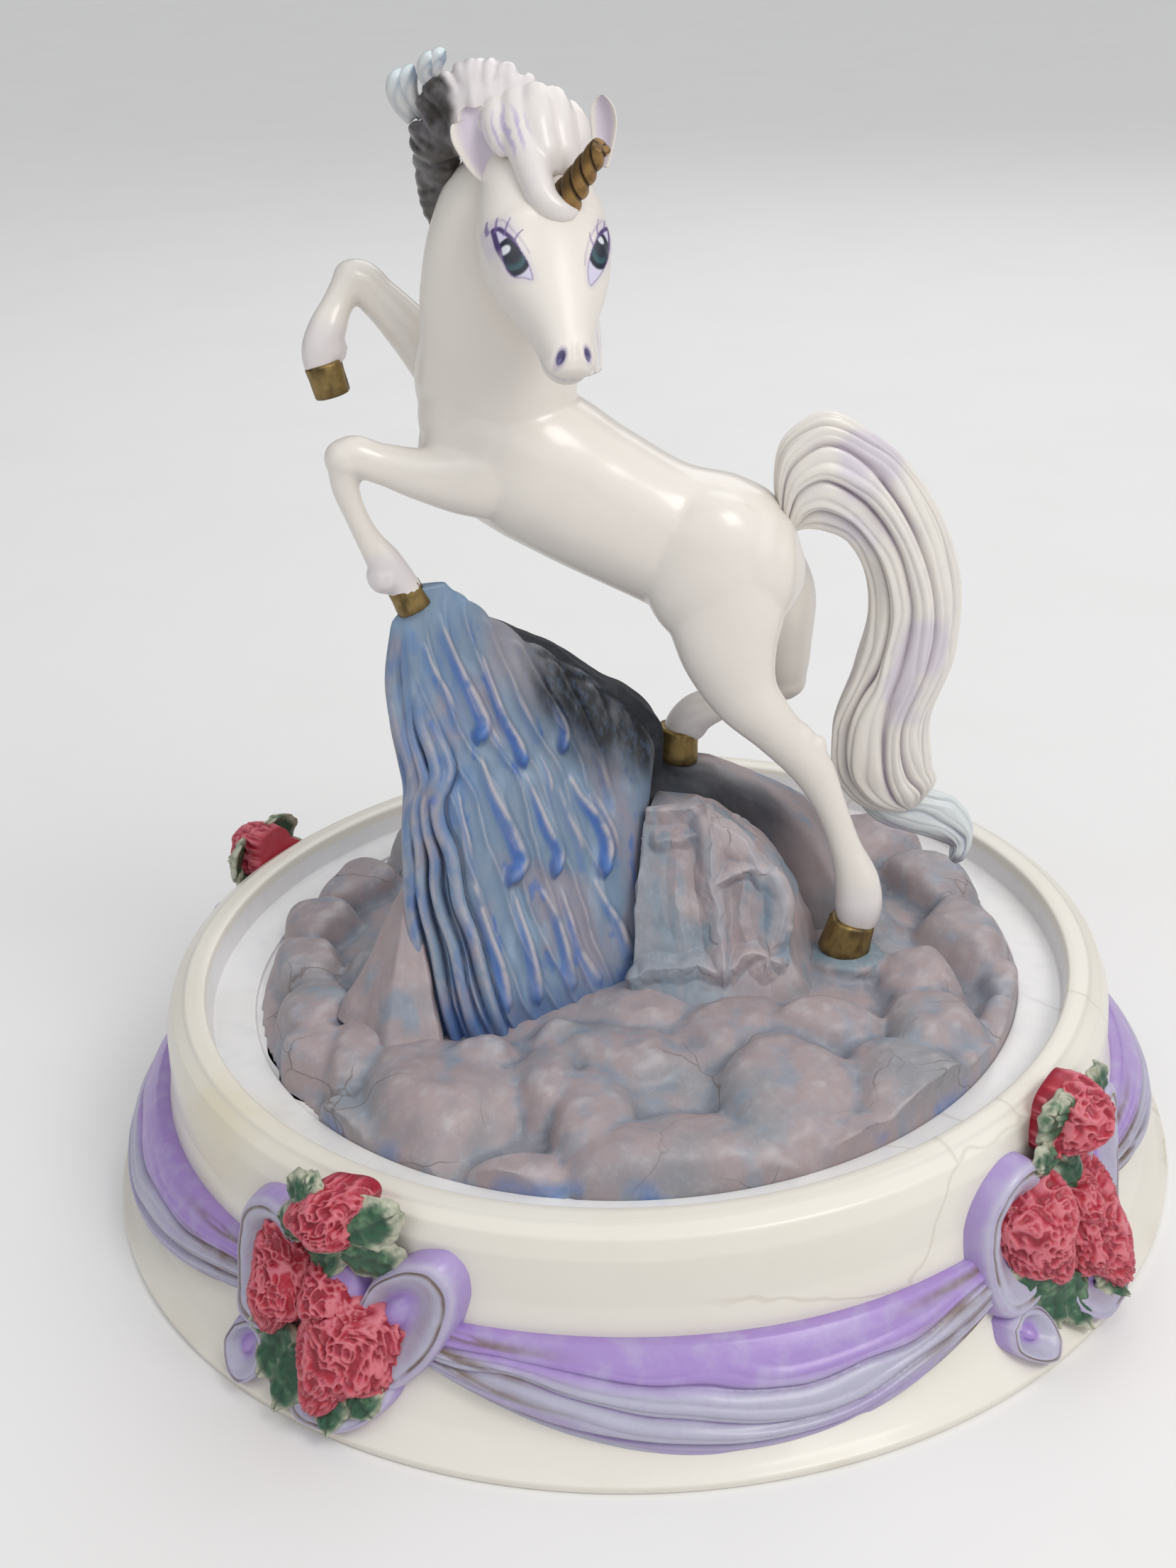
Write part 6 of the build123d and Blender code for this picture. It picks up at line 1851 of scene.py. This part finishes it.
        # painted shade on the curl's underside, where it faces down
        low = ramp(44.0 - curl.corners[:, 2] + 0.6 * (curl.corners[:, 0] - 42), 1.0, 5.0)
        curl.wash(((0.24, 0.21, 0.26), 0.85 * low * ramp(-normals_of(curl)[:, 2], -0.1, 0.6)))
        show("tail_curl_ribbed", curl, Slot.HAIR, "tail_curl")


@dataclass
class Trim:
    """What is draped and glued round the wall: swags, bows, leaves and blooms at four places.

    Places on a bow are given across and up from its middle, as seen from outside.
    """

    bow_height: float = 15.5
    plane_radius: float = 59.0
    top: float = 14.6
    purple: Color = (0.36, 0.235, 0.56)
    gray: Color = (0.43, 0.42, 0.53)
    gold: Color = (0.15, 0.09, 0.035)
    green: Color = (0.022, 0.09, 0.045)
    cream: Color = (0.56, 0.55, 0.42)
    crimson: Color = (0.46, 0.02, 0.042)
    pink: Color = (0.76, 0.27, 0.31)
    turns: Sequence[tuple[str, float]] = (
        ("front_left", -33.0), ("front_right", 50.0), ("back_right", 140.0), ("back_left", 237.0),
    )
    # degrees between a bow's middle and the end of a swag
    clear: float = 7.5
    swags: Sequence[str] = ("front_swag", "right_swag", "back_swag", "left_swag")
    right_loop: Sequence[tuple[float, float]] = (
        (3.6, 0.4), (5.2, 3.4), (7.8, 5.8), (11, 7.6), (13.4, 7.8), (15, 6.2), (15.5, 3.6), (15, 0.4),
        (13.8, -3), (11.4, -6.4), (8.6, -8.6), (6.4, -8.2), (4.4, -4),
    )
    left_loop: Sequence[tuple[float, float]] = (
        (-3.8, 1), (-4.8, 5.4), (-6.8, 8.6), (-9.4, 8.8), (-12.2, 7.4), (-14.2, 5), (-15.2, 2.2),
        (-15.6, -1), (-15.4, -4.8), (-14.6, -8), (-11.2, -8.8), (-7, -7), (-4.6, -3),
    )
    tails: Sequence[tuple] = (
        (
            (-14.6, -8.8), (-12.2, -7.6), (-9, -8.6), (-8.6, -12), (-10.6, -13.4), (-13.6, -12.8),
            (-15.4, -11),
        ),
        (
            (-3.2, -8), (2.4, -7), (8.4, -5.8), (9, -9.4), (6.4, -12.4), (1.6, -13.6), (-3.2, -13),
            (-5, -10.8),
        ),
    )
    masses: Sequence[tuple[float, ...]] = (
        (0.8, 10.6, 4.7, 3.5, 25), (-7, -0.4, 4.5, 6.2, -12), (-0.4, 0.6, 3.4, 2.9, 0),
        (2.3, -4.6, 6.2, 6.6, 30),
    )
    leaves: Sequence[tuple[float, ...]] = (
        (-0.2, 9.6, 140, 6.2), (-1.4, 10.2, 100, 4.4), (3.6, 9.8, 30, 5.8), (3.2, 7.4, -20, 5.8),
        (-1.8, 5.8, 60, 4.4), (-0.4, 2.4, 100, 5.4), (-7, -4.4, 215, 5.8), (-6, -5.6, 248, 6.4),
        (-3.6, -7.2, 262, 6), (2.2, -9, 285, 4.2), (4.6, -8, 320, 4.2), (-3, 7.4, 176, 4.2),
    )

    profile: Sequence[tuple[float, float]] = (
        (68.8, 0.9), (67.7, 1.9), (65.6, 4), (63.4, 7.2), (61.9, 10.5), (61, 14), (60.35, 18), (60.2, 21.9),
    )

    def wall(self, rise: Array) -> Array:
        """Radius of the plinth's wall at a height, read off its profile."""
        radii, heights = np.array(self.profile).T
        return np.interp(rise, heights, radii)

    def swag(self, start: float, stop: float, seed: int) -> Shell:
        """Cloth from bow to bow.

        At share t along it hangs by sin(pi t); at share s down it, the radius is the wall's plus the
        reach times an even swell and folds, each the cosine of s times the fold count plus a slow wave.
        """
        t, s = np.linspace(0, 1, 150)[:, None], np.linspace(0, 1, 84)[None]
        hang, zero = np.sin(np.pi * t), 0 * t * s
        angle = np.radians(start + (stop - start) * t)
        rise = self.top + 0.2 * np.sin(2 * np.pi * t + seed) - (4.4 + 8.2 * hang) * s
        slip = 0.1 * layered(np.stack([s * 2.2 + zero, 5 * t + zero, zero + seed], -1), 1.0, seed, 2)
        swell = np.clip(np.sin(np.pi * np.clip(0.1 + 0.86 * s, 0, 1)), 0, 1) ** 0.55 * (0.3 + 0.7 * s**0.6)
        folds = np.abs(np.cos(np.pi * (4.2 * s + slip * 6 + 0.2 * np.sin(np.pi * t)))) ** 0.7
        fine = np.abs(np.cos(np.pi * (11 * s + slip * 14))) ** 0.8
        keep = ramp(s, 0.1, 0.34)
        reach = (2.0 + 4.4 * hang) * swell * (1 - 0.22 * keep * (1 - folds)) - 0.26 * keep * (1 - fine)
        wall = self.wall(rise)
        radius = np.maximum(wall * 0.35 + 0.65 * self.wall(11.5 + zero) + reach, wall - 0.6)
        face, back = (
            np.stack([out * np.sin(angle), -out * np.cos(angle), rise], -1) for out in (radius, wall - 1.6)
        )
        back = back[:, ::-3]
        wash = np.stack([s * 7 + zero, 4.5 * t + zero, zero + seed], -1)
        band = fade(s + 0.35 * slip, 0.26, 0.4) * 0.95 + 0.45 * ramp(layered(wash, 1, 3), 0.1, 0.9)
        # painted shade in the hollows of the folds
        deep = 0.8 * keep * ramp(1 - folds, 0.45, 1.0)
        color = washed(self.gray, (self.purple, np.clip(band, 0, 1)), ((0.21, 0.14, 0.35), deep))
        worn = fade(np.minimum(t, 1 - t), 0.12, 0.3) * ramp(layered(wash * [2, 3, 1], 1, 6), -0.9, -0.3)
        for line, width in ((0.1, 0.05), (0.38, 0.07), (0.62, 0.06), (0.86, 0.05)):
            color = blend(color, self.gold, 0.9 * bell(s, line + 0.1 * slip, width) * worn)
        paint = np.concatenate([color, np.broadcast_to(self.purple, back.shape)], 1)
        return shell_of(np.concatenate([face, back], 1), paint)

    def local(self, across: Array, up: Array, out: Array) -> Array:
        """Places a height above the wall, at the front, before they are turned round."""
        across, up, out = np.broadcast_arrays(across, up, out)
        rise = self.bow_height + up
        reach = self.wall(rise) - across**2 / 124 + out
        return np.stack([across, -reach, np.maximum(rise, 1.0)], -1)

    def plate(self, outline: Sequence[tuple], middle: Sequence[float], deep: float, seed: int) -> Shell:
        """A sculpted loop or ribbon end, raised from its middle to its outline.

        At share k of the way it has a knob, then a dish that rises to a lined rim, and then a round
        edge down to the wall.
        """
        line = smooth_line([*outline, outline[0]], 121)[:-1]
        rim = np.sin(np.linspace(np.arcsin(0.94), np.pi / 2, 11))
        k = np.concatenate([np.linspace(0.02, 0.72, 18), np.linspace(0.74, 0.93, 18), rim])[:, None]
        flat = np.asarray(middle) + (line - middle)[None] * k[..., None]
        places = np.concatenate([flat, 0 * flat[..., :1]], -1)
        k = k * np.ones(len(line))
        knob = 0.55 * np.sqrt(np.clip(1 - (k / 0.3) ** 2, 0, 1))
        face = 0.34 + 0.5 * ramp(k, 0.32, 0.76) - 0.07 * bell(k, 0.83, 0.025)
        edge = np.sqrt(np.clip(1 - ((k - 0.86) / 0.14) ** 2, 0, 1)) * (k > 0.86) + (k <= 0.86)
        lift = deep * (np.maximum(knob + 0.15, face) * edge + 0.05 * layered(places, 3.0, seed))
        front = self.local(flat[..., 0], flat[..., 1], 0.5 * edge + lift)
        back = self.local(flat[..., 0], flat[..., 1], -1.4)[::-6]
        tone = washed(
            self.gray,
            (self.purple, fade(k, 0.28, 0.5)),
            (self.purple, 0.75 * ramp(k, 0.86, 0.93)),
            ((0.56, 0.56, 0.62), 0.6 * bell(k, 0.93, 0.03)),
            (self.gold, 0.95 * bell(k, 0.83, 0.028) * ramp(layered(places, 4.0, seed + 2), -0.7, -0.3)),
        )
        paint = np.concatenate([tone, np.broadcast_to(self.purple, back.shape)])
        return shell_of(np.concatenate([front, back]), paint)

    def bow(self, seed: int) -> Shell:
        """Two loops, two ribbon ends and the knot."""
        right = self.plate(self.right_loop, (7.4, -0.2), 3.0, seed)
        left = self.plate(self.left_loop, (-9.4, 0.8), 3.0, seed + 4)
        ends = [self.plate(tail, np.mean(tail, axis=0), 2.6, seed + k) for k, tail in enumerate(self.tails)]
        knot = ball((0, -self.plane_radius - 2.6, self.bow_height), (4.2, 2.8, 4.6), seed, 0.1)
        knot.paint = np.broadcast_to(self.purple, knot.corners.shape)
        return joined([right, left, *ends, knot])

    def leaf(self, x: float, y: float, turn: float, length: float, seed: int) -> Shell:
        """One plump leaf, scalloped, with a sunk midrib; its half width follows a sine along it."""
        t, w = np.linspace(0.0, 1, 42)[:, None], circle(36)[None]
        side, up = np.cos(w), np.sin(w)
        scallop = 1 + 0.07 * np.abs(np.cos(4.5 * np.pi * t + seed))
        half = np.maximum(0.54 * length * np.sin(np.pi * (0.03 + 0.95 * t) ** 0.9) ** 0.55 * scallop, 0.05)
        vein = 0.34 * bell(side, 0, 0.13) + 0.2 * np.abs(np.cos(np.pi * (4 * t - 1.3 * np.abs(side)))) ** 3
        flutter = 0.25 * side**2 * np.sin(5 * np.pi * t + seed)
        curl = 0.5 * np.sin(np.pi * t + 0.6 * seed) - 0.7 * side**2 + flutter
        lift = curl + np.where(up > 0, 0.7 * up - vein * (up > 0.3), 0.9 * up)
        a, along, across = np.radians(turn), t * length * np.ones_like(w), half * side
        px = x + along * np.cos(a) - across * np.sin(a)
        py = y + along * np.sin(a) + across * np.cos(a)
        grid = self.local(px, py, 3.4 + lift - 0.2 * along)
        edge = ramp(np.maximum(np.abs(side), 2 * t - 1.05), 0.56, 0.84)
        edge = edge * ramp(layered(grid, 1.3, seed), -1.0, -0.1)
        color = washed(
            self.green,
            ((0.13, 0.24, 0.13), 0.8 * ramp(layered(grid, 1.0, seed + 2), 0.0, 0.7)),
            (self.cream, 0.85 * edge),
            ((0.012, 0.045, 0.025), 0.7 * ramp(vein, 0.12, 0.3) * (up > 0)),
        )
        return shell_of(grid, color)

    def bloom(self, x: float, y: float, wide: float, tall: float, turn: float, seed: int) -> Shell:
        """A mass of small ruffled petals: a dome raised along winding lines.

        The lines are where the lesser of two noises, each at places bent by a third, is near zero.
        """
        k, u = np.sin(np.linspace(0.02, np.pi / 2, 64))[:, None], circle(124)[None]
        wob = 1 + 0.13 * np.sin(3 * u + seed) + 0.07 * np.sin(5 * u + 2.3 * seed)
        a, px, py = np.radians(turn), wide * wob * k * np.cos(u), tall * wob * k * np.sin(u)
        cx, cy = x + px * np.cos(a) - py * np.sin(a), y + px * np.sin(a) + py * np.cos(a)
        dome = np.sqrt(np.clip(1 - k**2, 0, 1))
        spots = np.stack([cx, cy, 6.0 * dome + 0 * cx], -1)
        lumps = layered(spots, 3.4, seed + 40, 1)
        bend = np.stack([noise(spots, 1.5, seed + j) for j in (1, 5, 9)], -1)
        lines = (noise(spots + 0.5 * bend, 0.8, seed + 20), noise(spots + 0.6 * bend, 1.1, seed + 60))
        petal = fade(np.minimum(*np.abs(lines)), 0.0, 0.3)
        lift = (0.5 * petal + 0.8 * lumps) * (0.35 + 0.65 * dome)
        swell = 1 + 0.09 * petal
        front = self.local(x + (cx - x) * swell, y + (cy - y) * swell, 0.6 + 6.0 * dome**0.85 + lift)
        back = self.local(cx, cy, -0.8)[::-7]
        color = washed(
            self.crimson,
            (self.pink, 0.6 * ramp(petal, 0.3, 1.0)),
            # painted shade in the hollows between the petals
            ((0.2, 0.006, 0.016), 0.7 * fade(petal + 0.3 * lumps, 0.0, 0.3)),
            ((0.52, 0.05, 0.08), 0.4 * ramp(layered(spots, 2.0, seed), 0.1, 0.9)),
        )
        paint = np.concatenate([color, np.broadcast_to(self.crimson, back.shape)])
        return shell_of(np.concatenate([front, back]), paint)

    def build(self) -> None:
        """Makes the trim at its four places and the four swags between them."""
        for seed, (place, turn) in enumerate(self.turns):
            show(f"{place}_bow_tied", self.bow(seed).turned(turn), Slot.CLOTH, f"{place}_bow")
            leaves = [self.leaf(*leaf, 7 * seed + k) for k, leaf in enumerate(self.leaves)]
            show(f"{place}_leaf_spray", joined(leaves).turned(turn), Slot.LEAF, f"{place}_leaves")
            masses = [self.bloom(*mass, 10 * seed + k) for k, mass in enumerate(self.masses)]
            show(f"{place}_bloom_cluster", joined(masses).turned(turn), Slot.ROSE, f"{place}_roses")
        turns = [turn for _, turn in self.turns]
        for k, name in enumerate(self.swags):
            start = turns[k] + self.clear
            stop = (turns[(k + 1) % 4] - turns[k]) % 360 + turns[k] - self.clear
            show(f"{name}_draped", self.swag(start, stop, k), Slot.CLOTH, name)


def main() -> None:
    """Builds every piece in order."""
    logging.basicConfig(level=logging.INFO, format="%(name)s: %(message)s")
    Studio().build()
    Plinth().build()
    Rock().build()
    Falls().build()
    Unicorn().build()
    Head().build()
    Horn().build()
    Hair().build()
    Trim().build()


if __name__ == "__main__":
    main()
